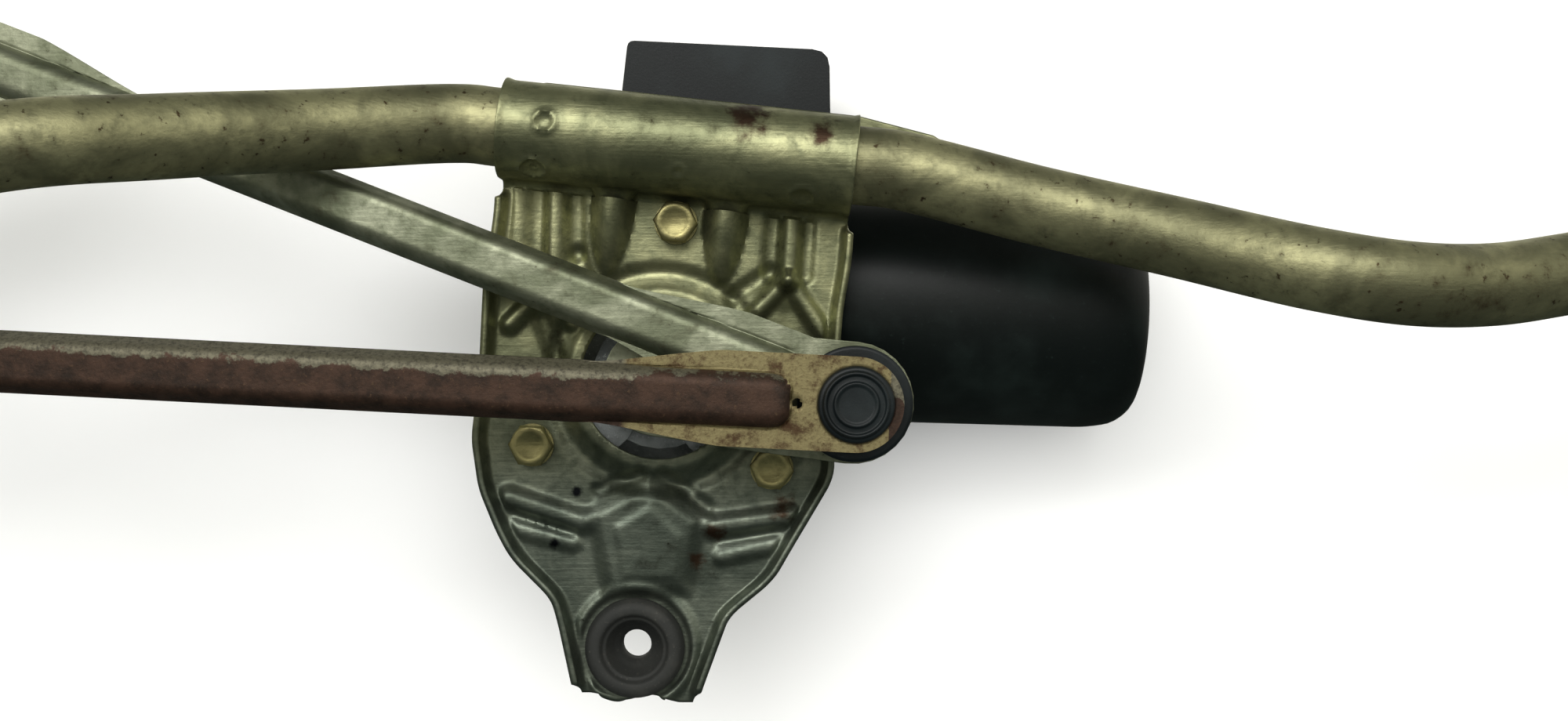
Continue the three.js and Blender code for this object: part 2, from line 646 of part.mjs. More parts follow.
// Points of a ball's outline between two heights from its centre.
function ballProfile(radius, centre, from, to, steps = 3) {
  const points = [];
  for (let i = 0; i <= steps; i++) {
    const height = from + ((to - from) * i) / steps;
    points.push([Math.sqrt(radius ** 2 - height ** 2), centre + height]);
  }
  return points;
}

const NECK_HEIGHT = Math.sqrt(BALL_RADIUS ** 2 - NECK_RADIUS ** 2);

// The double ball stud, riveted under the arm.
function crankPin() {
  return turned([
    [0, ARM_HIGH - GAP - 1], [5.5, ARM_HIGH - GAP - 1], [5.5, ARM_HIGH - GAP], [NECK_RADIUS, ARM_HIGH - GAP],
    ...ballProfile(BALL_RADIUS, REAR_BALL_Z, -NECK_HEIGHT, NECK_HEIGHT),
    ...ballProfile(BALL_RADIUS, FRONT_BALL_Z, -NECK_HEIGHT, NECK_HEIGHT),
    [0, FRONT_BALL_Z + NECK_HEIGHT],
  ], 14);
}

// The soft ring between the two rod eyes.
function dustRing() {
  const low = (REAR_BALL_Z + FRONT_BALL_Z) / 2 - 0.8;
  return ring(NECK_RADIUS + GAP + 1.2, 14.3, low, low + 1.6, 28);
}

// ---- link rods ----------------------------------------------------------------------------------
// Local axes: X from the crank pin to the far end, Z up, origin at the ball on the sheet's middle.

// A pressed rod: round flat ends that narrow into a hollow channel, open underneath.
function linkRod(length, width) {
  const half = ROD_SHEET / 2;
  const side = [
    [-EYE_RADIUS * 0.7, EYE_RADIUS * 0.72], [0, EYE_RADIUS], [16, EYE_RADIUS], [ROD_FLARE, width / 2],
    [length - ROD_FLARE, width / 2], [length - 16, EYE_RADIUS], [length, EYE_RADIUS],
    [length + EYE_RADIUS * 0.7, EYE_RADIUS * 0.72],
  ];
  const near = side.map(([x, y]) => [x, -y]);
  const outline = [[-EYE_RADIUS, 0], ...near, [length + EYE_RADIUS, 0], ...side.reverse()];
  const sheet = plate(new THREE.Shape(outline.map(([x, y]) => new THREE.Vector2(x, y))), -half, half);
  const wide = width / 2 - 0.2;
  const narrow = wide - ROD_SHEET - 0.1;
  const start = { x: 17 + width / 2, y: 0 };
  const finish = { x: length - start.x, y: 0 };
  const channel = plate(strap(start, wide, finish, wide), -half, ROD_HEIGHT - half, 6);
  const hollow = plate(strap(start, narrow, finish, narrow), -half - 1, ROD_HEIGHT - half - ROD_SHEET, 5);
  return cut(join(sheet, channel), hollow, disc(SOCKET_RADIUS + GAP, -5, 5, 20));
}

// The inside of a ball socket about a height: a throat that clears the ball's neck, and a round seat.
function socketSeat(centre, lip) {
  const inside = BALL_RADIUS + GAP;
  const throat = NECK_RADIUS + 2 * GAP;
  const reach = Math.sqrt(inside ** 2 - throat ** 2);
  return [[throat, centre + lip], ...ballProfile(inside, centre, reach, -reach)];
}

// A plastic ball socket, open at both ends and round inside.
function ballSocket() {
  const lip = SOCKET_HEIGHT / 2;
  return turned([
    [SOCKET_RADIUS - 1, -lip], [SOCKET_RADIUS, -lip + 1], [SOCKET_RADIUS, lip - 1], [SOCKET_RADIUS - 1, lip],
    ...socketSeat(0, lip), [NECK_RADIUS + 2 * GAP, -lip], [SOCKET_RADIUS - 1, -lip],
  ]);
}

// ---- spindles -----------------------------------------------------------------------------------
// Local axes: Z along the spindle, X towards the lever's ball where it matters, heights as overall.

// The cast housing: barrel, eye or socket for the tube, and a lug with a hole for the body screw.
function bearingHousing(barrelLow, lugAngle, tubeEye, tubeBore) {
  const barrel = disc(HOUSING_RADIUS, barrelLow, HOUSING_TOP, 18);
  const away = offset({ x: 0, y: 0 }, LUG_REACH, lugAngle);
  const outline = strap({ x: 0, y: 0 }, HOUSING_RADIUS, away, LUG_HOLE + 6);
  const lug = plate(outline, LUG_TOP - LUG_THICKNESS, LUG_TOP, 4);
  return cut(join(barrel, lug, tubeEye),
    disc(BUSH_RADIUS + GAP, barrelLow - 1, HOUSING_TOP + 1, 14),
    disc(LUG_HOLE, LUG_TOP - 20, LUG_TOP + 5, 12).translate(away.x, away.y, 0),
    tubeBore);
}

function bush(low) {
  return ring(SPINDLE_RADIUS + GAP, BUSH_RADIUS, low, low + BUSH_LENGTH);
}

// The spindle: a step that the lever seats on, a groove for the retaining ring, a taper for the
// wiper arm and a thread end.
function spindle(leverLow) {
  const r = SPINDLE_RADIUS;
  const groove = HOUSING_TOP + 2.2;
  return turned([
    [0, leverLow - 1.2], [r + 0.6, leverLow - 1.2], [r + 0.6, leverLow - GAP], [r - 1, leverLow - GAP],
    [r - 1, leverLow + LEVER_SHEET + GAP], [r, leverLow + LEVER_SHEET + GAP],
    [r, groove], [r - 0.8, groove], [r - 0.8, groove + 1.6], [r, groove + 1.6],
    [r, HOUSING_TOP + 10], [r - 1, HOUSING_TOP + 20], [r - 1.4, HOUSING_TOP + 20],
    [r - 1.4, SPINDLE_TOP - 1], [r - 2.2, SPINDLE_TOP], [0, SPINDLE_TOP],
  ], 14);
}

function thrustWasher() {
  return ring(SPINDLE_RADIUS + GAP, HOUSING_RADIUS - 2, HOUSING_TOP + GAP, HOUSING_TOP + 1.5);
}

// The spring ring in the spindle's groove, with its gap.
function retainingRing() {
  const low = HOUSING_TOP + 2.2 + GAP;
  return cut(ring(SPINDLE_RADIUS - 0.5, SPINDLE_RADIUS + 2.4, low, low + 1),
    block([0, -1.5, low - 1], [20, 1.5, low + 3]));
}

function lever(low) {
  const blade = plate(strap({ x: 0, y: 0 }, 12, { x: LEVER_LENGTH, y: 0 }, 9.5), low, low + LEVER_SHEET, 5);
  return cut(blade, disc(SPINDLE_RADIUS - 1 + GAP, low - 1, low + 9, 12),
    disc(NECK_RADIUS + GAP, low - 1, low + 9, 12).translate(LEVER_LENGTH, 0, 0));
}

// The ball stud hanging from the lever, with its rivet head above.
function ballStud(ballZ, leverLow) {
  const top = leverLow + LEVER_SHEET + GAP;
  return turned([
    [0, ballZ - BALL_RADIUS * 0.8], ...ballProfile(BALL_RADIUS, ballZ, -BALL_RADIUS * 0.8, NECK_HEIGHT),
    [NECK_RADIUS, top], [NECK_RADIUS + 2, top], [NECK_RADIUS + 1.4, top + 1.5], [0, top + 1.5],
  ], 14);
}

// The socket on the lever's ball. It rests on the end of the rod.
function leverSocket(ballZ, low) {
  const lip = SOCKET_HEIGHT / 2;
  return turned([
    [0, low], [SOCKET_RADIUS - 1, low], [SOCKET_RADIUS, low + 1], [SOCKET_RADIUS, ballZ + lip - 1],
    [SOCKET_RADIUS - 1, ballZ + lip], ...socketSeat(ballZ, lip), [NECK_RADIUS + 2 * GAP, ballZ - lip],
    [0, ballZ - lip],
  ]);
}

// ---- assembly -----------------------------------------------------------------------------------

const assembly = new THREE.Group();

// Adds a named mesh to a group.
function add(group, name, geometry, material) {
  const mesh = new THREE.Mesh(geometry, material);
  mesh.name = name;
  group.add(mesh);
}

// A group standing at a place, turned about Z.
function station(place, turn = 0, height = 0) {
  const group = new THREE.Group();
  group.position.set(place.x, place.y, height);
  group.rotation.z = turn;
  assembly.add(group);
  return group;
}

function buildFrame() {
  add(assembly, "frame_tube", frameTube(), zincTube);
  add(assembly, "motor_bracket", motorBracket(), zincSheet);
  add(assembly, "bracket_rear_strap", rearStrap(), zincSheet);
  add(assembly, "lower_grommet", grommet(PLATE_Z, PLATE_TOP), rubber);
  for (const [name, { radius, angle }] of Object.entries(BOLTS)) {
    const place = station(offset(SHAFT, radius, angle), angle);
    add(place, `motor_bolt_${name}`, motorBolt(), zincScrew);
  }
}

// The foot: a round plug in the tube's end, flattened into a tongue with a grommet.
function buildFoot() {
  const tangent = tubePath.getTangent(1);
  const turn = Math.atan2(tangent.y, tangent.x);
  const foot = station(TUBE_RIGHT_END, turn, TUBE_RIGHT_END.z);
  const bore = (TUBE_RADIUS - TUBE_WALL) * Math.cos(Math.PI / 6) - 2 * GAP;
  const plug = disc(bore, -10, 4, 16).rotateY(Math.PI / 2);
  const collar = disc(TUBE_RADIUS, 2 * GAP, 6, 16).rotateY(Math.PI / 2);
  const half = FOOT_THICKNESS / 2;
  const tongue = plate(strap({ x: 11, y: 0 }, 9, { x: FOOT_LENGTH, y: 0 }, 17), -half, half, 5);
  const body = cut(join(plug, collar, tongue), disc(GROMMET_HOLE, -5, 5).translate(FOOT_LENGTH, 0, 0));
  add(foot, "right_foot", body, zincSheet);
  const rest = new THREE.Group();
  rest.position.set(FOOT_LENGTH, 0, -half - PLATE_Z);
  foot.add(rest);
  add(rest, "right_grommet", grommet(PLATE_Z, PLATE_Z + FOOT_THICKNESS), rubber);
}

function buildMotor() {
  const motor = station(SHAFT, MOTOR_TURN);
  add(motor, "gearbox_housing", gearboxHousing(), castAluminium);
  add(motor, "gear_cover", gearCover(), blackPlastic);
  [-1, 13, 27].forEach((place, i) => add(motor, `terminal_blade_${i + 1}`, terminalBlade(place), copper));
  add(motor, "output_bush", outputBush(), bronze);
  add(motor, "motor_can", motorCan(), blackPaint);
  add(motor, "magnet_upper", magnet(90 * DEG), ferrite);
  add(motor, "magnet_lower", magnet(-90 * DEG), ferrite);
  add(motor, "brush_plate", brushPlate(), nylon);
  add(motor, "brush_upper", brush(1), carbon);
  add(motor, "brush_lower", brush(-1), carbon);
  add(motor, "armature_bush", armatureBush(), bronze);
  add(motor, "armature_shaft", armatureShaft(), darkSteel);
  add(motor, "armature_core", armatureCore(), darkSteel);
  add(motor, "armature_winding", winding(), copper);
  add(motor, "commutator", commutator(), copper);
}

function buildCrank() {
  const crank = station(SHAFT, CRANK_ANGLE);
  add(crank, "output_shaft", outputShaft(), darkSteel);
  add(crank, "worm_wheel", wormWheel(), nylon);
  add(crank, "crank_arm", crankArm(), greySteel);
  add(crank, "crank_nut", crankNut(), zincScrew);
  const pin = station(PIN);
  add(pin, "crank_pin", crankPin(), darkSteel);
  add(pin, "pin_dust_ring", dustRing(), blackPlastic);
}

function buildRods() {
  const front = station(PIN, FRONT_ROD_ANGLE, FRONT_BALL_Z);
  add(front, "front_rod", linkRod(FRONT_ROD_LENGTH, FRONT_ROD_WIDTH), brownSteel);
  add(front, "front_rod_socket", ballSocket(), blackPlastic);
  const rear = station(PIN, REAR_ROD_ANGLE, REAR_BALL_Z);
  const lean = new THREE.Group();
  lean.rotation.y = Math.atan(REAR_ROD_FALL);
  rear.add(lean);
  add(lean, "rear_rod", linkRod(REAR_ROD_LENGTH, REAR_ROD_WIDTH), greySteel);
  add(rear, "rear_rod_socket", ballSocket(), blackPlastic);
}

// One spindle with everything that turns on it.
function buildSpindle(name, { spindle: place, leverAngle }, socketLow, barrelLow, housing) {
  const ballZ = socketLow + BALL_RADIUS;
  const leverLow = ballZ + SOCKET_HEIGHT / 2 + LEVER_GAP;
  const fixed = station(place);
  add(fixed, `${name}_bearing_housing`, housing, castAluminium);
  add(fixed, `${name}_lower_bush`, bush(barrelLow + 1), bronze);
  add(fixed, `${name}_upper_bush`, bush(HOUSING_TOP - 1 - BUSH_LENGTH), bronze);
  const turning = station(place, leverAngle);
  add(turning, `${name}_spindle`, spindle(leverLow), darkSteel);
  add(turning, `${name}_thrust_washer`, thrustWasher(), nylon);
  add(turning, `${name}_retaining_ring`, retainingRing(), darkSteel);
  add(turning, `${name}_lever`, lever(leverLow), zincSheet);
  const ball = new THREE.Group();
  ball.position.x = LEVER_LENGTH;
  turning.add(ball);
  add(ball, `${name}_ball_stud`, ballStud(ballZ, leverLow), darkSteel);
  add(ball, `${name}_ball_socket`, leverSocket(ballZ, socketLow), blackPlastic);
}

function buildLeftSpindle() {
  const tangent = tubePath.getTangent(0);
  const turn = Math.atan2(tangent.y, tangent.x);
  const place = TUBE_LEFT_END.clone().sub(new THREE.Vector3(LEFT.spindle.x, LEFT.spindle.y, 0));
  const lay = (geometry) => geometry.rotateY(Math.PI / 2).rotateZ(turn).translate(place.x, place.y, place.z);
  const eye = lay(disc(FITTED + HOUSING_WALL, -8, 26, 16));
  const bore = lay(disc(FITTED, -GAP, 40, 24));
  const barrelLow = LEFT_SOCKET_Z + 20;
  const housing = bearingHousing(barrelLow, 150 * DEG, eye, bore);
  buildSpindle("left", LEFT, LEFT_SOCKET_Z, barrelLow, housing);
}

function buildCentreSpindle() {
  const lay = (geometry) => geometry.rotateY(Math.PI / 2).translate(0, -TUBE_BESIDE, TUBE_TOP_Z);
  const collar = lay(disc(FITTED + HOUSING_WALL, -14, 14, 16));
  const web = block([-6, -TUBE_BESIDE, TUBE_TOP_Z - 12], [6, 0, TUBE_TOP_Z + 12]);
  const bore = lay(disc(FITTED, -20, 20, 24));
  const barrelLow = TUBE_TOP_Z - 42;
  const housing = bearingHousing(barrelLow, 60 * DEG, join(collar, web), bore);
  buildSpindle("centre", CENTRE, CENTRE_SOCKET_Z, barrelLow, housing);
}

buildFrame();
buildFoot();
buildMotor();
buildCrank();
buildRods();
buildLeftSpindle();
buildCentreSpindle();

export default assembly;
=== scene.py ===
"""Windshield wiper assembly: the finished look of the jointed model.

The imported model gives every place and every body. The pieces that show most are made again here as
finer surfaces in the same places, and every piece gets its own worn finish. Lengths inside the
shape functions are millimetres in the frame of the model, and become metres in the meshes.
"""

import json
import math

import bmesh
import bpy
import numpy as np
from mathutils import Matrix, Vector

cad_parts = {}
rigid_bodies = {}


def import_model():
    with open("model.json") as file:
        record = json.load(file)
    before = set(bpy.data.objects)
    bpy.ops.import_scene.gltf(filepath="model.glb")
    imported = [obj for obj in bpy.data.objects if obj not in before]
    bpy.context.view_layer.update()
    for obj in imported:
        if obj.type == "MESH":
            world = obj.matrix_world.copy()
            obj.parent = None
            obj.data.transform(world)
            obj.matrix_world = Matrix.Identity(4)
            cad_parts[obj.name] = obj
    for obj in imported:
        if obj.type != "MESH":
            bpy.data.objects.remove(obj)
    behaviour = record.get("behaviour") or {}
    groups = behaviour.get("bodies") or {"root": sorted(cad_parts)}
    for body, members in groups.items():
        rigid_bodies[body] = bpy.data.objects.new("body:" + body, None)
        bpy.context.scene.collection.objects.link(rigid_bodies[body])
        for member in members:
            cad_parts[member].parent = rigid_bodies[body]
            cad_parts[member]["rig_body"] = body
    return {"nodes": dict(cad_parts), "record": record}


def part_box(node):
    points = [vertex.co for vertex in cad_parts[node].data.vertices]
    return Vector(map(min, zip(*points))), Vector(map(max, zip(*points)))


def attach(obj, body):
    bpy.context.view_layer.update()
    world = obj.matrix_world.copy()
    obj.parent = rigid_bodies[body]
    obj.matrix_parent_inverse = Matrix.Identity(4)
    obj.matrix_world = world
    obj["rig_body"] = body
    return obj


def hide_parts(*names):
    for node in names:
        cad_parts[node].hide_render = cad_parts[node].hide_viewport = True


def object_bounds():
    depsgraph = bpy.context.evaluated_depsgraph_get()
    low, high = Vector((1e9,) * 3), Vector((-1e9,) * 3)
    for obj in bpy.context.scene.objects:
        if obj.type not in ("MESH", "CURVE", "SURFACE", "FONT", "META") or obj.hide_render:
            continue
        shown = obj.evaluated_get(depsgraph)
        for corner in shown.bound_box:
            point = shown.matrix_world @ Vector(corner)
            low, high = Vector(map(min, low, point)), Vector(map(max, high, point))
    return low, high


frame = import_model()
cad_low, cad_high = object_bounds()

# ---- sizes, in millimetres ------------------------------------------------------------------------

MM = 0.001
CELL = 0.75  # spacing of the points on pressed sheet

TUBE_RADIUS = 10
TUBE_WALL = 1.5
TUBE_Z = 16  # tube axis through the saddle
TUBE_RISE = 60
TUBE_BESIDE = 25
LEFT_REACH = 14.6  # from the left spindle to the tube's end

SHEET = 2
PLATE_TOP = 8
LIP_HEIGHT = 4.6
EDGE_SHEET = 1.5  # the sheet as it looks at its worn edges
WRAP_RADIUS = TUBE_RADIUS + 0.3 + SHEET
FILLET = 2.4  # bend between the plate and the wrap
SADDLE_HALF = 45
SADDLE_TURN = math.radians(-6.1)
TONGUE_LEFT, TONGUE_RIGHT = -82, -83  # the tongue's end at both sides, from the output shaft
HOLE_RADIUS = 20.5
GROMMET_HOLE = 9.5
BOLT_HOLE = 3.3
BOLT_FLATS = 10

SHAFT = np.array([6.3, 69.3])
SADDLE = SHAFT + [5.6, 49.7 + TUBE_RADIUS]
MOTOR_TURN = math.radians(-1.7)
CAN_RADIUS = 32
CAN_WALL = 1.8
CAN_START = 39
CAN_END = 131
CAN_AXIS_Y = 21.5
CAN_AXIS_Z = -30

CRANK_RADIUS = 50
CRANK_TURN = math.radians(-6.4)
FRONT_PIN_Z = 37.5
REAR_PIN_Z = 27
EYE_RADIUS = 11.6
SOCKET_RADIUS = 9
ROD_SHEET = 1.5
ROD_CHANNEL = 4  # height of the raised channel above the rod's flat ends
CHANNEL_START = 17  # from the crank pin
FLARE_START, FLARE_RUN = 22, 52  # where a rod narrows from its eye to its channel, and over how much
# Rods: turn is in degrees about the crank pin, and fall is the slope down towards the spindle.
FRONT_ROD = {"length": 480, "width": 13.4, "turn": 177.1, "fall": 0}
REAR_ROD = {"length": 262, "width": 12.4, "turn": 158.7, "fall": 0.08}

BOLTS = {"top": (41, 84), "left": (37, 207), "right": (37, -38)}  # from the shaft: distance, direction

SLOT_OF = {part["node"]: part["material_slot"] for part in frame["record"]["subparts"]}

# ---- helpers for shapes ---------------------------------------------------------------------------


def polar(distance, degrees):
    """The flat step of length d in direction a: (d cos a, d sin a)."""
    return distance * np.array([math.cos(math.radians(degrees)), math.sin(math.radians(degrees))])


PIN = SHAFT + polar(CRANK_RADIUS, math.degrees(CRANK_TURN))


def smooth(value):
    """The smooth step: 0 below 0, 1 above 1, and 3v^2 - 2v^3 between."""
    v = np.clip(value, 0, 1)
    return v * v * (3 - 2 * v)


def middle(name):
    """The centre of a CAD node's box, in millimetres."""
    low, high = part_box(name)
    return np.array([(low[i] + high[i]) / 2 / MM for i in range(3)])


def turn_flat(points, angle):
    """Points turned about the vertical by an angle a: (x cos a - y sin a, x sin a + y cos a, z)."""
    c, s = math.cos(angle), math.sin(angle)
    x, y = points[..., 0], points[..., 1]
    return np.stack([x * c - y * s, x * s + y * c, points[..., 2]], axis=-1)


def saddle_point(along, across, z):
    """Places given along and across the tube in the saddle, turned into the frame."""
    flat = turn_flat(np.stack(np.broadcast_arrays(along, across, z), axis=-1).astype(float), SADDLE_TURN)
    return flat + [SADDLE[0], SADDLE[1], 0]


def soften(profile, radius, steps=4):
    """A profile with each inner corner replaced by a curve that is quadratic between the points one
    radius before and after the corner, or less where the corner's neighbours are near."""
    p = np.array(profile, dtype=float)
    before, corner, after = p[:-2], p[1:-1], p[2:]
    back, ahead = before - corner, after - corner
    reach_back = np.linalg.norm(back, axis=1, keepdims=True)
    reach_ahead = np.linalg.norm(ahead, axis=1, keepdims=True)
    run = np.minimum(radius, 0.45 * np.minimum(reach_back, reach_ahead))
    start = corner + back / reach_back * run
    finish = corner + ahead / reach_ahead * run
    t = np.linspace(0, 1, steps)[None, :, None]
    curve = (1 - t) ** 2 * start[:, None] + 2 * t * (1 - t) * corner[:, None] + t**2 * finish[:, None]
    return np.concatenate([p[:1], curve.reshape(-1, 2), p[-1:]])


def put(name, mesh, body, slot):
    """Puts a mesh in a CAD node's place: smooth shaded, on its body, with the finish of its slot."""
    mesh.polygons.foreach_set("use_smooth", np.ones(len(mesh.polygons), dtype=bool))
    mesh.materials.clear()
    mesh.materials.append(FINISH[slot])
    piece = bpy.data.objects.new(name + "_fine", mesh)
    bpy.context.scene.collection.objects.link(piece)
    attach(piece, body)
    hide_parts(name)
    return piece


def mesh_of(name, points, faces, body, slot, marks=None, merge=True):
    """A piece in a CAD node's place, from millimetre points and a face table. marks are values at the
    points that its finish reads as attributes. merge joins doubled points, closes seams and poles,
    and makes edges over 50 degrees sharp."""
    mesh = bpy.data.meshes.new(name + "_fine")
    mesh.from_pydata((points * MM).tolist(), [], faces.tolist())
    for key, values in (marks or {}).items():
        layer = mesh.attributes.new(key, "FLOAT", "POINT")
        layer.data.foreach_set("value", values.astype(np.float32).ravel())
    work = bmesh.new()
    work.from_mesh(mesh)
    if merge:
        bmesh.ops.remove_doubles(work, verts=work.verts, dist=1e-6)
        bmesh.ops.dissolve_degenerate(work, edges=work.edges, dist=1e-7)
    loose = [v for v in work.verts if not v.link_faces]
    bmesh.ops.delete(work, geom=loose, context="VERTS")
    work.to_mesh(mesh)
    work.free()
    piece = put(name, mesh, body, slot)
    if merge:
        mesh.set_sharp_from_angle(angle=math.radians(50))
    return piece


def grid_faces(rows, columns, close_rows=False, close_columns=False):
    """The four corners of every cell of a grid, anticlockwise seen from outside."""
    i = np.arange(rows if close_rows else rows - 1)
    j = np.arange(columns if close_columns else columns - 1)
    i, j = np.meshgrid(i, j, indexing="ij")
    i2, j2 = (i + 1) % rows, (j + 1) % columns
    corners = [i * columns + j, i * columns + j2, i2 * columns + j2, i2 * columns + j]
    return np.stack(corners, axis=-1).reshape(-1, 4)


def open_holes(grid, holes):
    """A sheet's grid with round holes: points near a hole's edge move onto it, and the cells whose
    corners all lie on or inside the edge are left out. holes are (x, y, radius)."""
    flat = grid.reshape(-1, 3).copy()
    faces = grid_faces(*grid.shape[:2])
    for x, y, radius in holes:
        step = flat[:, :2] - [x, y]
        reach = np.maximum(np.linalg.norm(step, axis=1), 1e-6)
        near = np.abs(reach - radius) < 0.62 * CELL
        flat[near, :2] = [x, y] + step[near] / reach[near, None] * radius
        reach[near] = radius
        inside = (reach <= radius + 1e-6)[faces].all(axis=1)
        faces = faces[~inside]
    return flat, faces


def turned(name, profile, place, body, slot, softness, sides=96, lying=None):
    """A turned piece: the softened profile of (radius, height) carried round its axis as
    (r cos a, r sin a, h). place is where height 0 stands. The axis is upright, or level at the
    angle that lying gives."""
    p = soften(profile, softness)
    a = np.linspace(0, 2 * math.pi, sides, endpoint=False)
    r, h = p[:, 0, None], np.repeat(p[:, 1, None], sides, axis=1)
    grid = np.stack([r * np.cos(a), r * np.sin(a), h], axis=-1)
    if lying is not None:
        grid = turn_flat(grid[..., [2, 0, 1]], lying)
    faces = grid_faces(len(p), sides, close_columns=True)
    return mesh_of(name, (grid + place).reshape(-1, 3), faces, body, slot)


def thick(piece, thickness):
    """Gives a sheet its thickness, downwards from the surface that was made."""
    wall = piece.modifiers.new("sheet", "SOLIDIFY")
    wall.thickness = thickness * MM
    wall.offset = -1
    wall.use_even_offset = False


def refined(name, radius, sharp=math.radians(35)):
    """A CAD node made again with its doubled points merged, its flat faces joined and its sharp edges
    rounded by a bevel, in the same place."""
    source = frame["nodes"][name]
    mesh = bpy.data.meshes.new(name + "_fine")
    work = bmesh.new()
    work.from_mesh(source.data)
    bmesh.ops.remove_doubles(work, verts=work.verts, dist=2e-6)
    bmesh.ops.dissolve_limit(work, angle_limit=math.radians(1), verts=work.verts, edges=work.edges)
    work.to_mesh(mesh)
    work.free()
    piece = put(name, mesh, source["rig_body"], SLOT_OF[name])
    mesh.set_sharp_from_angle(angle=sharp)
    edge = piece.modifiers.new("edges", "BEVEL")
    edge.width = radius * MM
    edge.segments = 2
    edge.limit_method = "ANGLE"
    edge.angle_limit = sharp
    edge.harden_normals = True


# ---- finishes -------------------------------------------------------------------------------------


def linear(code):
    """An sRGB hex colour as the linear colour that a shader takes."""
    parts = [int(code[i : i + 2], 16) / 255 for i in (1, 3, 5)]
    return (*[v / 12.92 if v <= 0.04045 else ((v + 0.055) / 1.055) ** 2.4 for v in parts], 1)


def node(tree, kind, settings=None, **links):
    """Adds a node, sets its properties or inputs, and links inputs to other nodes' sockets.
    Spaces in a socket's name are written as underscores."""
    new = tree.nodes.new("ShaderNode" + kind)
    for key, value in (settings or {}).items():
        if isinstance(key, str) and hasattr(new, key):
            setattr(new, key, value)
        else:
            new.inputs[key].default_value = value
    for key, socket in links.items():
        name = key.replace("_", " ")
        tree.links.new(socket, new.inputs[int(name[1:]) if name[1:].isdigit() else name])
    return new


def noise(tree, place, size, detail=3, roughness=0.55, distortion=0.0):
    """Cloudy variation whose patches are about size millimetres across."""
    settings = {
        "Scale": 1 / (size * MM), "Detail": detail, "Roughness": roughness, "Distortion": distortion,
    }
    return node(tree, "TexNoise", settings, Vector=place).outputs["Fac"]


def between(tree, value, low, high):
    """A value's part between two limits, as a mask from 0 to 1."""
    settings = {"From Min": low, "From Max": high, "interpolation_type": "SMOOTHSTEP"}
    return node(tree, "MapRange", settings, Value=value).outputs["Result"]


def ranged(tree, value, low, high):
    """A value from 0 to 1 spread evenly between two ends, for a roughness that varies."""
    return node(tree, "MapRange", {"To Min": low, "To Max": high}, Value=value).outputs["Result"]


def blend(tree, mask, under, over):
    """Two colours mixed by a mask. Each is a hex colour or a socket."""
    mix = node(tree, "Mix", {"data_type": "RGBA"})
    tree.links.new(mask, mix.inputs[0])
    for socket, colour in ((mix.inputs[6], under), (mix.inputs[7], over)):
        if isinstance(colour, str):
            socket.default_value = linear(colour)
        else:
            tree.links.new(colour, socket)
    return mix.outputs[2]


def start(name):
    """An empty finish: its tree, the Object coordinates and the shader."""
    material = bpy.data.materials.new(name)
    material.use_nodes = True
    tree = material.node_tree
    place = node(tree, "TexCoord").outputs["Object"]
    shader = tree.nodes["Principled BSDF"]
    return material, tree, place, shader


def wire(tree, shader, colour, roughness, height, depth):
    """Colour, roughness and bump to the shader. depth is the bump's height in millimetres."""
    tree.links.new(colour, shader.inputs["Base Color"])
    tree.links.new(roughness, shader.inputs["Roughness"])
    bump = node(tree, "Bump", {"Strength": 1.0, "Distance": depth * MM}, Height=height)
    tree.links.new(bump.outputs["Normal"], shader.inputs["Normal"])


def patch_at(tree, place, x, y, radius, ragged):
    """A ragged patch round a place in millimetres: 1 in its middle, 0 past its radius, with a border
    broken up by a noise."""
    flat = node(tree, "VectorMath", {"operation": "MULTIPLY", 1: (1 / MM, 1 / MM, 0)}, _0=place)
    away = node(tree, "VectorMath", {"operation": "DISTANCE", 1: (x, y, 0)}, _0=flat.outputs[0])
    settings = {"From Min": 0, "From Max": radius, "To Min": 0.62, "To Max": -0.2}
    near = node(tree, "MapRange", settings, Value=away.outputs["Value"]).outputs["Result"]
    broken = node(tree, "Math", {"operation": "ADD"}, _0=near, _1=ragged).outputs[0]
    return between(tree, broken, 0.7, 1.05)


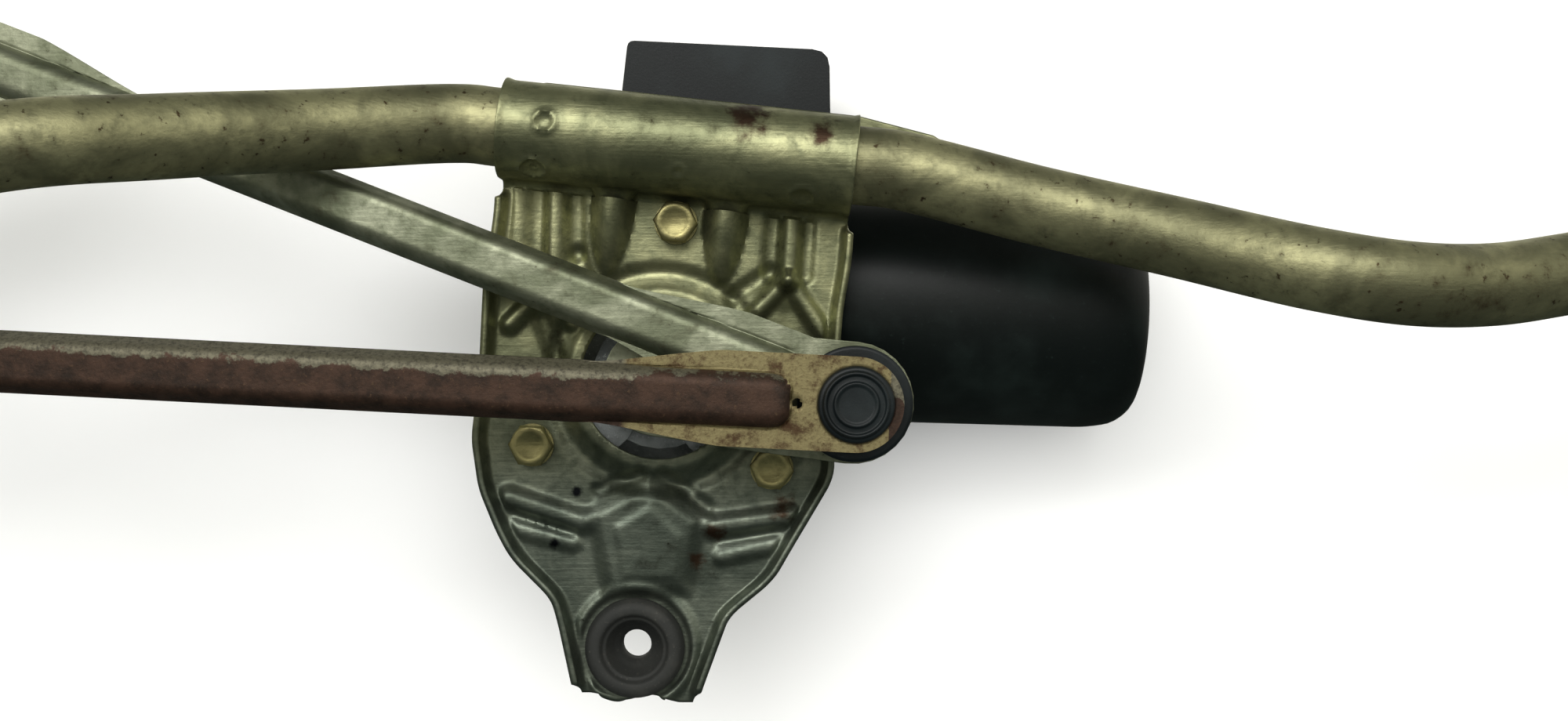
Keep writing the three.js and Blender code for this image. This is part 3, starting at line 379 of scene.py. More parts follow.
def plated(name, clean, dull, dirt, rust, metallic, rough, rust_from=0.66, dots_from=0.68, extra=None):
    """Zinc plate gone dull: cloudy patches 26 mm across over 5 mm ones, dark dirt specks 2.5 mm
    across, rust blooms about 14 mm across, fine handling scratches, and an orange-peel grain. extra
    adds what only one piece shows."""
    material, tree, place, shader = start(name)
    cloud = noise(tree, place, 26, 4, 0.6, 0.6)
    patch = noise(tree, place, 5, 5, 0.65)
    speck = noise(tree, place, 2.5, 4, 0.6)
    colour = blend(tree, between(tree, cloud, 0.38, 0.62), clean, dull)
    colour = blend(tree, between(tree, patch, 0.4, 0.75), colour, dull)
    smudge = node(tree, "Math", {"operation": "MULTIPLY"}, _0=cloud, _1=patch).outputs[0]
    grime = between(tree, smudge, 0.28, 0.532)
    colour = blend(tree, grime, colour, dirt)
    dots = between(tree, speck, dots_from, dots_from + 0.08)
    colour = blend(tree, dots, colour, dirt)
    bloom = between(tree, noise(tree, place, 14, 5, 0.7, 1.0), rust_from, rust_from + 0.06)
    colour = blend(tree, bloom, colour, rust)
    colour = extra(tree, place, colour, patch) if extra else colour
    scratch_place = node(tree, "Mapping", {"Rotation": (0, 0, 0.5), "Scale": (0.07, 1, 1)}, Vector=place)
    scratch = noise(tree, scratch_place.outputs[0], 0.9, 2)
    grain = node(tree, "Math", {"operation": "MULTIPLY_ADD", 1: 0.5}, _0=scratch, _2=speck).outputs[0]
    roughness = ranged(tree, patch, rough, rough + 0.28)
    shader.inputs["Metallic"].default_value = metallic
    wire(tree, shader, colour, roughness, grain, 0.12)
    return material


def zinc_plated_tube():
    """Zinc-plated drawn steel tube, yellow passivate faded to olive grey: satin and blotched."""
    return plated("zinc_plated_tube", "#a8a57e", "#7a795c", "#4a3f2c", "#53412c", 0.9, 0.36, 0.7, 0.63)


RUST_BLOOMS = ((37.5, 36.5, 8), (20.5, 30, 7), (15.5, 23, 6), (30, 135, 13), (48, 131, 9))  # x, y, radius
PAINT_SCUFFS = ((-15.4, 40.2, 3.6), (-21, 27, 3.8))


def sheet_marks(tree, place, colour, ragged):
    """What the bracket shows: its golden plating turns grey-green below the output shaft, rust has
    bloomed on the right shoulder and on the wrap, and black paint was scuffed on the left shoulder."""
    height = node(tree, "SeparateXYZ", Vector=place).outputs["Y"]
    green = node(tree, "Mix", {"data_type": "RGBA", "blend_type": "MULTIPLY", 0: 1.0})
    tree.links.new(colour, green.inputs[6])
    green.inputs[7].default_value = linear("#c2ccee")
    colour = blend(tree, between(tree, height, 0.085, 0.03), colour, green.outputs[2])
    for spots, over in ((RUST_BLOOMS, "#46362a"), (PAINT_SCUFFS, "#15171a")):
        for spot in spots:
            colour = blend(tree, patch_at(tree, place, *spot, ragged), colour, over)
    return colour


def zinc_plated_sheet():
    """Zinc-plated pressed steel: an even olive with a golden cast and dirty hollows."""
    colours = ("#a5a57f", "#787b5e", "#3d3b29", "#4f3a27")
    return plated("zinc_plated_sheet", *colours, 0.94, 0.3, 0.72, extra=sheet_marks)


def grey_plated_steel():
    """Zinc-plated rod gone pale grey-green, with brown dirt towards its edges."""
    return plated("grey_plated_steel", "#9c9f88", "#70755f", "#413a2c", "#554030", 0.9, 0.35, 0.73)


def yellow_zinc_fasteners():
    """Yellow-passivated zinc: brassy, with greyer worn tops."""
    return plated("yellow_zinc_fasteners", "#bdb37c", "#8f895f", "#57492f", "#64482a", 0.92, 0.27, 0.75)


def brown_aged_steel():
    """A rod whose plating has gone to brown scale: a grey band along its upper edge with a ragged
    border, partly clean plate and partly a painted highlight where that edge's side wall faces the
    light, and gold plate speckled with rust on the flat ends."""
    material, tree, place, shader = start("brown_aged_steel")
    patch = noise(tree, place, 6, 6, 0.7)
    fine = noise(tree, place, 1.1, 4, 0.7)
    scale = blend(tree, between(tree, patch, 0.35, 0.7), "#46342a", "#2b221c")
    scale = blend(tree, between(tree, fine, 0.58, 0.75), scale, "#5a4635")
    across = node(tree, "Attribute", {"attribute_name": "across"}).outputs["Fac"]
    flat = node(tree, "Attribute", {"attribute_name": "flange"}).outputs["Fac"]
    ragged = node(tree, "Math", {"operation": "MULTIPLY_ADD", 1: 0.45}, _0=patch, _2=across).outputs[0]
    # painted highlight: the grey band on the upper edge is partly clean plate and partly the lit side wall
    # painted paler
    clean_plate_and_highlight_band = between(tree, ragged, 0.93, 0.97)
    grey = blend(tree, between(tree, fine, 0.4, 0.7), "#6b6756", "#48453a")
    colour = blend(tree, clean_plate_and_highlight_band, scale, grey)
    gold = blend(tree, between(tree, fine, 0.48, 0.8), "#7f7552", "#4a3925")
    gold = blend(tree, between(tree, patch, 0.48, 0.68), gold, "#453220")
    edge = node(tree, "Math", {"operation": "MULTIPLY_ADD", 1: 0.5}, _0=patch, _2=flat).outputs[0]
    colour = blend(tree, between(tree, edge, 0.62, 0.8), colour, gold)
    roughness = ranged(tree, fine, 0.4, 0.72)
    shader.inputs["Metallic"].default_value = 0.7
    wire(tree, shader, colour, roughness, fine, 0.14)
    return material


def moulded(name, base, worn, rough, grain_size, depth, worn_from=0.6, shine=0.5):
    """A dark non-metal skin: a mould or paint grain grain_size millimetres across, and pale dust or
    wear in soft patches 30 mm across."""
    material, tree, place, shader = start(name)
    cloud = noise(tree, place, 30, 5, 0.6)
    grain = noise(tree, place, grain_size, 3, 0.6)
    colour = blend(tree, between(tree, cloud, worn_from - 0.16, worn_from + 0.16), base, worn)
    colour = blend(tree, between(tree, grain, 0.62, 0.76), colour, worn)
    roughness = ranged(tree, cloud, rough, rough + 0.2)
    shader.inputs["Specular IOR Level"].default_value = shine
    wire(tree, shader, colour, roughness, grain, depth)
    return material


def black_moulded_plastic():
    """Black moulded nylon: near black with a faint blue cast and a soft sheen."""
    return moulded("black_moulded_plastic", "#0b0f10", "#171d1e", 0.34, 0.7, 0.03, shine=0.28)


def black_painted_steel():
    """Black stoved paint on drawn steel: smooth, deep and a little dusty."""
    return moulded("black_painted_steel", "#080c0b", "#131a18", 0.36, 1.2, 0.03, shine=0.24)


def natural_rubber():
    """Moulded rubber: matt charcoal with pale bloom and rubbing marks."""
    return moulded("natural_rubber", "#20211f", "#3a3934", 0.6, 0.9, 0.08, 0.6, 0.35)


def white_nylon():
    """Natural nylon: warm white, slightly waxy."""
    return moulded("white_nylon", "#d6d1bf", "#b7b09a", 0.38, 1.0, 0.03)


def ferrite():
    """Sintered magnet: dark grey ceramic with a fine ground grain."""
    return moulded("ferrite", "#3a3a3d", "#4d4d50", 0.6, 0.6, 0.04)


def brush_carbon():
    """Pressed carbon: soft black with a graphite sheen."""
    return moulded("brush_carbon", "#1d1d1e", "#343435", 0.5, 0.5, 0.04)


def cast(name, base, dark, bright, metallic, rough, grain_size, depth):
    """Bare metal: a cast or machined grain, darker films in 12 mm patches and bright worn spots."""
    material, tree, place, shader = start(name)
    cloud = noise(tree, place, 12, 5, 0.6)
    grain = noise(tree, place, grain_size, 4, 0.65)
    colour = blend(tree, between(tree, cloud, 0.42, 0.68), base, dark)
    colour = blend(tree, between(tree, grain, 0.58, 0.74), colour, bright)
    roughness = ranged(tree, grain, rough, rough + 0.25)
    shader.inputs["Metallic"].default_value = metallic
    wire(tree, shader, colour, roughness, grain, depth)
    return material


def die_cast_aluminium():
    """Die-cast aluminium: dull silver with a sandy skin and grey oxide."""
    return cast("die_cast_aluminium", "#8d9190", "#5f6362", "#b4b8b6", 0.85, 0.42, 1.1, 0.1)


def machined_steel():
    """Machined or cold-headed steel under oil: grey with a brownish film."""
    return cast("machined_steel", "#85868a", "#4b4a48", "#b1b2b4", 0.95, 0.28, 0.8, 0.05)


def tinned_copper():
    """Tinned copper: pinkish metal showing through a grey tin coat."""
    return cast("tinned_copper", "#b07a55", "#8d8a80", "#cf9c76", 0.95, 0.3, 0.8, 0.04)


def sintered_bronze():
    """Oil-filled sintered bronze: brown gold with open pores."""
    return cast("sintered_bronze", "#a5803f", "#5e4626", "#c9a45f", 0.9, 0.4, 0.5, 0.06)


FINISH = {
    make.__name__: make()
    for make in (
        zinc_plated_tube, zinc_plated_sheet, yellow_zinc_fasteners, natural_rubber, die_cast_aluminium,
        black_moulded_plastic, tinned_copper, sintered_bronze, black_painted_steel, ferrite, white_nylon,
        brush_carbon, machined_steel, grey_plated_steel, brown_aged_steel,
    )
}

# ---- frame tube -----------------------------------------------------------------------------------


def catmull(points, steps):
    """The centripetal Catmull-Rom curve through the points: between two neighbours it is the cubic
    whose end slopes weigh the steps on both sides by the square root of their length."""
    p = np.array(points, dtype=float)
    p = np.vstack([2 * p[0] - p[1], p, 2 * p[-1] - p[-2]])
    step = np.linalg.norm(np.diff(p, axis=0), axis=1)[:, None] ** 0.5
    x0, x1, x2, x3 = p[:-3], p[1:-2], p[2:-1], p[3:]
    d0, d1, d2 = step[:-2], step[1:-1], step[2:]
    t1 = ((x1 - x0) / d0 - (x2 - x0) / (d0 + d1) + (x2 - x1) / d1) * d1
    t2 = ((x2 - x1) / d1 - (x3 - x1) / (d1 + d2) + (x3 - x2) / d2) * d1
    t = np.linspace(0, 1, steps, endpoint=False)[None, :, None]
    a, b = x1[:, None], t1[:, None]
    c, d = (-3 * x1 + 3 * x2 - 2 * t1 - t2)[:, None], (2 * x1 - 2 * x2 + t1 + t2)[:, None]
    curve = (a + b * t + c * t**2 + d * t**3).reshape(-1, 3)
    return np.vstack([curve, p[-2]])


def bend(x, y, rise):
    """A bend of the tube, from the output shaft and above the tube's axis in the saddle."""
    return np.array([SHAFT[0] + x, SHAFT[1] + y, TUBE_Z + rise])


def tube_path():
    """The tube's axis from the left housing to the right foot."""
    left, centre = middle("left_spindle"), middle("centre_spindle")
    high = TUBE_Z + TUBE_RISE
    end = np.array([left[0] + LEFT_REACH, left[1] - 2, high])
    run = polar(1, -9)
    beside = np.array([centre[0], centre[1] - TUBE_BESIDE, high])
    straight = SADDLE_HALF + 1
    saddle = [saddle_point(a, 0, TUBE_Z) for a in (-straight - 9, -straight, straight, straight + 9)]
    points = [
        end, end + [*run * 36, 0], end + [*run * 46, 0], beside + [-70, 4, 0], beside + [-34, 0, 0],
        beside + [-26, 0, 0], beside + [26, 0, 0], beside + [34, 0, 0], beside + [66, 6, 0],
        bend(-140, 52.7, TUBE_RISE - 5), bend(-114, 57.3, 36), bend(-83, 62, 14), *saddle,
        bend(98, 44, 3), bend(130, 35.7, 11), bend(160, 26.8, 27), bend(181, 23.3, 30),
        bend(203, 23.4, 24), bend(222, 26, 19.2), bend(236, 28.5, 19), bend(250, 31, 19),
    ]
    return catmull(points, 16)


def frame_tube():
    """The tube's outer wall, end rims and inner wall as one closed skin: a circle of radius R round
    each point of the path, out along it and back inside."""
    path = tube_path()
    along = np.gradient(path, axis=0)
    along /= np.linalg.norm(along, axis=1, keepdims=True)
    side = np.cross(along, [0, 0, 1])
    side /= np.linalg.norm(side, axis=1, keepdims=True)
    up = np.cross(side, along)
    a = np.linspace(0, 2 * math.pi, 48, endpoint=False)[None, :, None]
    ring = np.cos(a) * side[:, None] + np.sin(a) * up[:, None]
    outer = path[:, None] + TUBE_RADIUS * ring
    inner = path[:, None] + (TUBE_RADIUS - TUBE_WALL) * ring
    grid = np.concatenate([outer, inner[::-1]])
    faces = grid_faces(*grid.shape[:2], close_rows=True, close_columns=True)[:, ::-1]
    mesh_of("frame_tube", grid.reshape(-1, 3), faces, "frame", "zinc_plated_tube")


# ---- motor bracket --------------------------------------------------------------------------------

# Sides of the plate from the output shaft, from the tongue's end up to the saddle.
LEFT_SIDE = [
    (-19.7, -84.5), (-24.6, -62), (-26.5, -55.5), (-37, -45), (-40.5, -38.5), (-45, -27.5), (-46.8, -15),
    (-44.9, 1), (-43.2, 37), (-42.0, 52), (-41.4, 58),
]
RIGHT_SIDE = [
    (8, -84.5), (17, -60), (28.6, -50.5), (33.5, -42), (37.8, -34.8), (43.6, -25), (44, -20), (42.4, -14.5),
    (45.3, 8), (47.4, 36), (47.9, 44), (48.2, 48),
]


def side_at(corners, y):
    """A side's x at given heights: straight runs between its corners, averaged over 5 mm."""
    x, heights = zip(*corners)
    spread = np.linspace(-2.5, 2.5, 9)
    return np.mean([np.interp(y + s, heights, x) for s in spread], axis=0)


def near_line(x, y, start, end):
    """Distance from points to a line between two places."""
    start, end = np.array(start, float), np.array(end, float)
    run = end - start
    part = np.clip(((x - start[0]) * run[0] + (y - start[1]) * run[1]) / (run @ run), 0, 1)
    return np.hypot(x - start[0] - part * run[0], y - start[1] - part * run[1])


def ridge(x, y, start, end, half_width, height):
    """A round rib along a line: the smooth step of 1 - d/w, times its height, where d is the distance
    from the line and w the half width."""
    return height * smooth(1.15 * (1 - near_line(x, y, start, end) / half_width))


def embossed(x, y, corners, slope, height):
    """A flat-topped field: height inside a convex outline, falling off over slope millimetres. The
    distance inside is the least distance to the lines through its sides."""
    ring = np.array(corners, float)
    inside = np.full(x.shape, 99.0)
    for a, b in zip(ring, np.roll(ring, -1, axis=0)):
        run = (b - a) / np.linalg.norm(b - a)
        inside = np.minimum(inside, run[0] * (y - a[1]) - run[1] * (x - a[0]))
    return height * smooth(inside / slope + 0.5)


# Pressed lines from the output shaft: start, end, half width, and height over the plate. A line with
# a height below zero is a groove.
PRESSED_LINES = [
    # left of the hole: a forked rib between two grooves, and a low rib by the side
    ((-21.8, 54), (-21.4, 33), 3.2, -1.4), ((-21.4, 33), (-18.5, 24), 3.2, -1.2),
    ((-26.6, 54), (-27.4, 26), 3.8, 2.3), ((-31.4, 54), (-32.4, 27), 3.6, -1.5),
    ((-36.6, 54), (-37.2, 30), 2.6, 0.7), ((-27.4, 26), (-39, 14.5), 3.4, 2.1),
    ((-27.4, 26), (-23.0, 15), 3.2, 1.6), ((-30.5, 15.5), (-27.5, 6), 3.6, -1.3),
    # right of the hole: a forked rib between two grooves
    ((35.0, 50), (33.4, 26), 3.8, 2.5), ((30.4, 52), (28.6, 28), 3.4, -1.5),
    ((39.4, 48), (38.0, 27), 2.8, -1.3), ((28.6, 28), (19, 21.5), 3.2, -1.3),
    ((33.4, 26), (23.4, 16), 3.4, 2.2), ((33.4, 26), (42.8, 12), 3.4, 2.1),
    ((34, 17), (36, 10), 4.0, -0.8),
    # across the shoulders: two ribs with a groove between them, left and right
    ((-39, -30.5), (-20, -36.8), 4.4, 2.2), ((-38, -38.6), (-22.6, -42.4), 3.2, 1.0),
    ((-38, -34.6), (-23, -39.4), 2.2, -0.8), ((14.2, -38), (34, -35.4), 4.4, 2.2),
    ((16, -46), (29.5, -43), 3.2, 1.0), ((15.5, -41.6), (31, -38.8), 2.2, -0.8),
    # above the boss
    ((-16, -28.5), (-5, -24.4), 2.6, -1.0), ((1, -24.4), (12.4, -33), 2.6, -1.0),
]
BOSS = [(-17.8, -34.2), (-13.4, -54.5), (6.8, -54.5), (10.6, -36.2), (-2.6, -26.2)]
BOSS_FACE = [(-11.5, -38.0), (-9.5, -51.5), (4.6, -51.5), (5.8, -40.5), (-2.2, -32.5)]


def relief(x, y):
    """Height of the pressed shapes over the plate, from the output shaft: a bead round the hole with
    a valley outside it, the pressed lines, a five-sided boss above the grommet, and a dished grommet
    seat. All of it fades out round the motor bolts, where the sheet is flat."""
    r = np.hypot(x, y)
    z = 1.3 * smooth((25.4 - r) / 2.6) - 1.3 * smooth(1 - np.abs(r - 28.0) / 3.6)
    for line in PRESSED_LINES:
        z += ridge(x, y, *line)
    z += embossed(x, y, BOSS, 5.5, 2.2) + embossed(x, y, BOSS_FACE, 2.6, 0.5)
    seat = np.hypot(x + SHAFT[0], y + SHAFT[1])
    z += 1.0 * smooth((17.8 - seat) / 2.5) - 1.0 * smooth((15.2 - seat) / 1.5)
    for bolt in BOLTS.values():
        spot = polar(*bolt)
        z = z * smooth((np.hypot(x - spot[0], y - spot[1]) - 5.4) / 3.4)
    return z


# Punch marks on the wrap: place along it, angle round it in degrees, radius and depth.
PUNCH_MARKS = ((-33, 84, 2.6, 0.5), (-35.5, 146, 3.4, 0.45), (1.0, 128, 1.7, 0.3), (32.5, 146, 3.2, 0.4))


def dents(along, angle):
    """Punch marks on the wrap: a shallow ring round a pit. Returns the change of radius."""
    change = np.zeros(along.shape)
    for place, degrees, radius, depth in PUNCH_MARKS:
        reach = np.hypot(along - place, (angle - math.radians(degrees)) * WRAP_RADIUS)
        change += depth * smooth(1 - np.abs(reach - radius) / 1.1) - depth * smooth((radius - reach) / 1.4)
        change -= 1.3 * depth * smooth((0.3 * radius - reach) / 0.9)
    return change


DART_PLACES = (-16.0, 13.5)  # along the saddle
DART_HALF, DART_REACH, DART_HEIGHT = 6.0, 22, 7.0


def darts(along, reach):
    """The two rounded darts that run from the wrap down to the plate: height
    H * (1 - (a / w)^2 - (q / r)^2), where a is the distance from the dart's middle line, q the
    distance from the wrap, w the dart's half width and r its reach."""
    rise = np.zeros(np.broadcast(along, reach).shape)
    for place in DART_PLACES:
        bow = 1 - ((along - place) / DART_HALF) ** 2 - (np.maximum(reach, 0) / DART_REACH) ** 2
        rise = np.maximum(rise, DART_HEIGHT * np.clip(bow, 0, 1))
    return rise


LIP_STEPS = np.array([0, 0.35, 0.8, 1.3, 1.8, 2.3, 2.8, 3.4])  # close columns at the turned-up sides


def columns():
    """Parts of the way across the sheet, closer together in the turned-up sides. Each is a fraction
    of the width and a distance in millimetres from the left or right side."""
    between_lips = np.linspace(0, 1, 124)[1:-1]
    count = len(LIP_STEPS)
    fraction = np.concatenate([np.zeros(count), between_lips, np.ones(count)])
    inset = np.concatenate([LIP_STEPS, LIP_STEPS[-1] * (1 - 2 * between_lips), -LIP_STEPS[::-1]])
    return fraction, inset


def plate_rows(fraction, inset):
    """The plate: level rows from the tongue up to the bend, each between the two sides, raised by the
    relief and by the lips, which rise as (1 - e/2.4)^2 within 2.4 mm of a side."""
    f = np.linspace(0, 1, 190)[:, None]
    top = saddle_point(np.array([-SADDLE_HALF, SADDLE_HALF]), -WRAP_RADIUS - FILLET, 0)[:, :2] - SHAFT
    y_left = TONGUE_LEFT + (top[0, 1] - TONGUE_LEFT) * f
    y_right = TONGUE_RIGHT + (top[1, 1] - TONGUE_RIGHT) * f
    x_left, x_right = side_at(LEFT_SIDE, y_left), side_at(RIGHT_SIDE, y_right)
    near = smooth((f - 0.8) / 0.2)
    x_left = x_left + (top[0, 0] - x_left) * near
    x_right = x_right + (top[1, 0] - x_right) * near
    x = x_left + (x_right - x_left) * fraction + inset
    y = y_left + (y_right - y_left) * fraction
    y = y + 0.8 * np.sin((fraction - 0.5) * 9) * (1 - smooth(f / 0.04))
    edge = np.minimum(x - x_left, x_right - x)
    lip = LIP_HEIGHT * np.clip(1 - edge / 2.4, 0, 1) ** 2 * smooth(f / 0.03) * smooth((1 - f) / 0.02)
    from_saddle = SHAFT - SADDLE
    local = turn_flat(np.stack([x + from_saddle[0], y + from_saddle[1], 0 * x], axis=-1), -SADDLE_TURN)
    reach = -local[..., 1] - WRAP_RADIUS
    z = PLATE_TOP + relief(x, y) * smooth(edge / 2 - 0.8) + lip + darts(local[..., 0], reach)
    return np.stack([x + SHAFT[0], y + SHAFT[1], z], axis=-1)


def wrap_rows(fraction, inset):
    """The wrap: a quarter bend up from the plate, the near wall, and an arc of the wrap's radius over
    the tube to the far side. The last 2 mm at both ends flare out by 0.5 mm."""
    along = -SADDLE_HALF + 2 * SADDLE_HALF * fraction + inset
    bend_up = np.linspace(0, math.pi / 2, 7)[1:]
    across = [-WRAP_RADIUS - FILLET + FILLET * np.sin(bend_up)]
    height = [PLATE_TOP + FILLET - FILLET * np.cos(bend_up)]
    wall = np.linspace(PLATE_TOP + FILLET, TUBE_Z, 9)[1:]
    across.append(np.full(8, -WRAP_RADIUS))
    height.append(wall)
    angle = np.linspace(math.pi, math.radians(-30), 60)[1:]
    flare = 0.5 * smooth((np.abs(along) - SADDLE_HALF + 2.2) / 2.2)
    radius = WRAP_RADIUS + flare + dents(*np.broadcast_arrays(along, angle[:, None]))
    low_across = np.concatenate(across)[:, None] - flare
    low_height = np.concatenate(height)[:, None] + 0 * along
    low_across = low_across - darts(along, 0 * low_height) * smooth((TUBE_Z - low_height) / 6) * 0.8
    arc_across, arc_height = radius * np.cos(angle)[:, None], TUBE_Z + radius * np.sin(angle)[:, None]
    across, height = np.vstack([low_across, arc_across]), np.vstack([low_height, arc_height])
    return saddle_point(along + 0 * across, across, height)


def motor_bracket():
    """The pressed bracket as one sheet, from the tongue to the far side of the tube."""
    fraction, inset = columns()
    grid = np.concatenate([plate_rows(fraction, inset), wrap_rows(fraction, inset)])
    holes = [(*SHAFT, HOLE_RADIUS), (0, 0, GROMMET_HOLE)]
    holes += [(*(SHAFT + polar(*bolt)), BOLT_HOLE) for bolt in BOLTS.values()]
    points, faces = open_holes(grid, holes)
    piece = mesh_of("motor_bracket", points, faces, "frame", "zinc_plated_sheet")
    thick(piece, EDGE_SHEET)


# ---- link rods and their sockets --------------------------------------------------------------------


def rod_grid(length, width):
    """A rod along X from its ball: points (s, t * w(s)) where w is the half width, round at the eyes
    (w = sqrt(R^2 - d^2)), straight past them and narrowing smoothly to the channel. The channel
    stands up by c * (1 - (y / h)^4) inside its half width h and is round at its ends. Also gives
    how far across, 0 to 1, and how flat the sheet is at each point."""
    ends = EYE_RADIUS * np.sin(np.linspace(-math.pi / 2, 0, 26))
    run = np.linspace(0, length, int(length / CELL) // 2 * 2)[1:-1]
    s = np.concatenate([ends, run, length - ends[::-1]])
    t = np.sin(np.linspace(-math.pi / 2, math.pi / 2, 37))
    d = np.minimum(s, length - s)
    flare = width / 2 + (EYE_RADIUS + 0.6 - width / 2) * smooth((FLARE_START + FLARE_RUN - d) / FLARE_RUN)
    round_end = np.sqrt(np.clip(EYE_RADIUS**2 - d**2, 0.01, None))
    w = np.where(d < 0, round_end, np.minimum(flare, EYE_RADIUS))
    x, y = s[:, None] + 0 * t, w[:, None] * t
    half = width / 2 - 0.2
    ahead = np.clip(CHANNEL_START + half - d, 0, half)[:, None]
    room = half * np.clip(1 - (ahead / half) ** 4, 0, None) ** 0.25
    part = np.clip(1 - np.abs(y) / np.maximum(room, 0.01), 0, 1)
    inside = (d[:, None] > CHANNEL_START) & (room > 0.3)
    rise = np.where(inside, ROD_CHANNEL * smooth(part * 2.3), 0)
    curl = -0.8 * smooth(1 - np.abs(np.abs(y) - w[:, None]) / 1.0) * smooth((d[:, None] - 60) / 10)
    z = ROD_SHEET / 2 + rise + curl
    across = y / (2 * w[:, None]) + 0.5
    flat = (1 - smooth(part * 3) * inside) * smooth((w[:, None] - width / 2 - 0.4) / 2.5)
    return np.stack([x, y, z], axis=-1), across, flat


def link_rod(name, body, slot, pin_z, rod):
    """A pressed link rod laid from the crank pin towards its spindle. Its edge that lies uppermost is
    where across is 1, since both rods run to the left."""
    grid, across, flat = rod_grid(rod["length"], rod["width"])
    fall = math.atan(rod["fall"])
    x, z = grid[..., 0], grid[..., 2]
    along = x * math.cos(fall) + z * math.sin(fall)
    height = z * math.cos(fall) - x * math.sin(fall)
    grid = np.stack([along, grid[..., 1], height], axis=-1)
    points, faces = open_holes(grid, [(0, 0, SOCKET_RADIUS + 0.3), (14.2, 0.4, 1.3)])
    points = turn_flat(points, math.radians(rod["turn"])) + [*PIN, pin_z]
    piece = mesh_of(name, points, faces, body, slot, {"across": 1 - across, "flange": flat}, merge=False)
    thick(piece, ROD_SHEET)


def crank_joint():
    """The stack on the crank pin: a socket in each rod's eye, snapped over its ball, and a soft ring
    between them. The upper socket is capped: a rim, a groove, a raised ring and a dished centre."""
    slot = "black_moulded_plastic"
    cap = [
        (0, 4.6), (4.3, 4.6), (4.9, 5.0), (5.3, 5.0), (5.7, 4.3), (6.9, 4.2), (7.3, 4.9), (7.8, 4.9),
        (8.2, 4.0), (8.9, 3.8), (9.3, 3.2), (9.5, 1.1), (SOCKET_RADIUS, 0.9), (SOCKET_RADIUS, -4.2),
        (8, -4.2), (3.9, -4.2),
    ]
    turned("front_rod_socket", cap[::-1], [*PIN, FRONT_PIN_Z], "front_link", slot, 0.25)
    low = [
        (3.9, -4.2), (8, -4.2), (9, -3.2), (9, 3.2), (8, 4.2), (3.9, 4.2), (4.9, 1), (4.9, -1), (3.9, -4.2),
    ]
    turned("rear_rod_socket", low, [*PIN, REAR_PIN_Z], "rear_link", slot, 0.4)
    ring = [(4.7, -0.8), (13.4, -0.8), (14.3, -0.1), (14.3, 0.4), (13.6, 0.8), (4.7, 0.8), (4.7, -0.8)]
    turned("pin_dust_ring", ring, middle("pin_dust_ring"), "crank", slot, 0.3)


# ---- grommets, bolts, motor -------------------------------------------------------------------------


def grommet(name, low, high):
    """A rubber grommet: a wide foot, a waist in the sheet, a rounded head and a funnel to its bolt
    hole, with a fine moulded ring inside the funnel."""
    place = middle(name)
    place[2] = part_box(name)[0][2] / MM
    profile = [
        (3.75, 0), (13.2, 0), (13.9, 1.2), (13.9, low - 1.2), (13.2, low - 0.3), (9.2, low - 0.3),
        (9.2, high + 0.3), (12.5, high + 0.3), (12.9, high + 1.0), (12.9, high + 2.6), (11.9, high + 4.4),
        (10.6, high + 5.0), (9.0, high + 4.9), (8.2, high + 3.4), (7.4, high + 3.1), (6.6, high + 1.2),
        (5.6, low + 1.0), (4.4, low - 0.6), (3.75, low - 2.2), (3.75, 0),
    ]
    turned(name, profile, place, "frame", "natural_rubber", 0.6)


def motor_bolt(name, radius, direction):
    """A hexagon bolt with a washer face. Its levels are (radius, height, 1 where flats cut it). Where
    they do, the outline is the lesser of the radius and the hexagon's reach f / (2 cos(a)), where f
    is the width across the flats and a the angle from the nearest flat's middle."""
    a = np.linspace(0, 2 * math.pi, 72, endpoint=False)
    from_flat = np.abs((a + math.pi / 6) % (math.pi / 3) - math.pi / 6)
    hexagon = BOLT_FLATS / 2 / np.cos(from_flat)
    levels = np.array([
        (0.02, -20, 0), (2.4, -20, 0), (3, -19, 0), (3, 0, 0), (5.3, 0, 0), (5.6, 0.3, 0), (5.55, 1.2, 0),
        (5.0, 1.3, 0), (5.9, 1.5, 1), (5.9, 4.2, 1), (5.25, 4.6, 1), (4.75, 5.0, 0), (4.3, 5.15, 0),
        (3.3, 5.1, 0), (3.0, 4.85, 0), (0.02, 4.85, 0),
    ])
    plain, height = levels[:, 0, None] + 0 * a, levels[:, 1, None] + 0 * a
    reach = np.where(levels[:, 2, None] == 1, np.minimum(plain, hexagon), plain)
    turn = a + math.radians(direction)
    grid = np.stack([reach * np.cos(turn), reach * np.sin(turn), height], axis=-1)
    place = [*(SHAFT + polar(radius, direction)), PLATE_TOP + 0.3]
    faces = grid_faces(*grid.shape[:2], close_columns=True)
    mesh_of(name, (grid + place).reshape(-1, 3), faces, "frame", "yellow_zinc_fasteners")


def motor_can():
    """The deep-drawn can: a straight wall with a shallow rolled bead near its mouth and a well
    rounded closed end with a raised bearing cup, carried round the armature's axis."""
    r, end = CAN_RADIUS, CAN_END
    profile = [
        (r - CAN_WALL, CAN_START), (r, CAN_START), (r, CAN_START + 5), (r - 0.7, CAN_START + 7),
        (r - 0.1, CAN_START + 9), (r - 0.2, end - 14), (r - 1.4, end - 6.5), (r - 5, end - 2),
        (r - 10, end - 0.6), (12, end - 0.5), (11, end), (0.02, end),
        (0.02, end - CAN_WALL), (r - 9, end - CAN_WALL - 1), (r - 3, end - 10), (r - CAN_WALL, CAN_START),
    ]
    place = turn_flat(np.array([0.0, CAN_AXIS_Y, CAN_AXIS_Z]), MOTOR_TURN) + [*SHAFT, 0]
    turned("motor_can", profile, place, "frame", "black_painted_steel", 3, 128, lying=MOTOR_TURN)


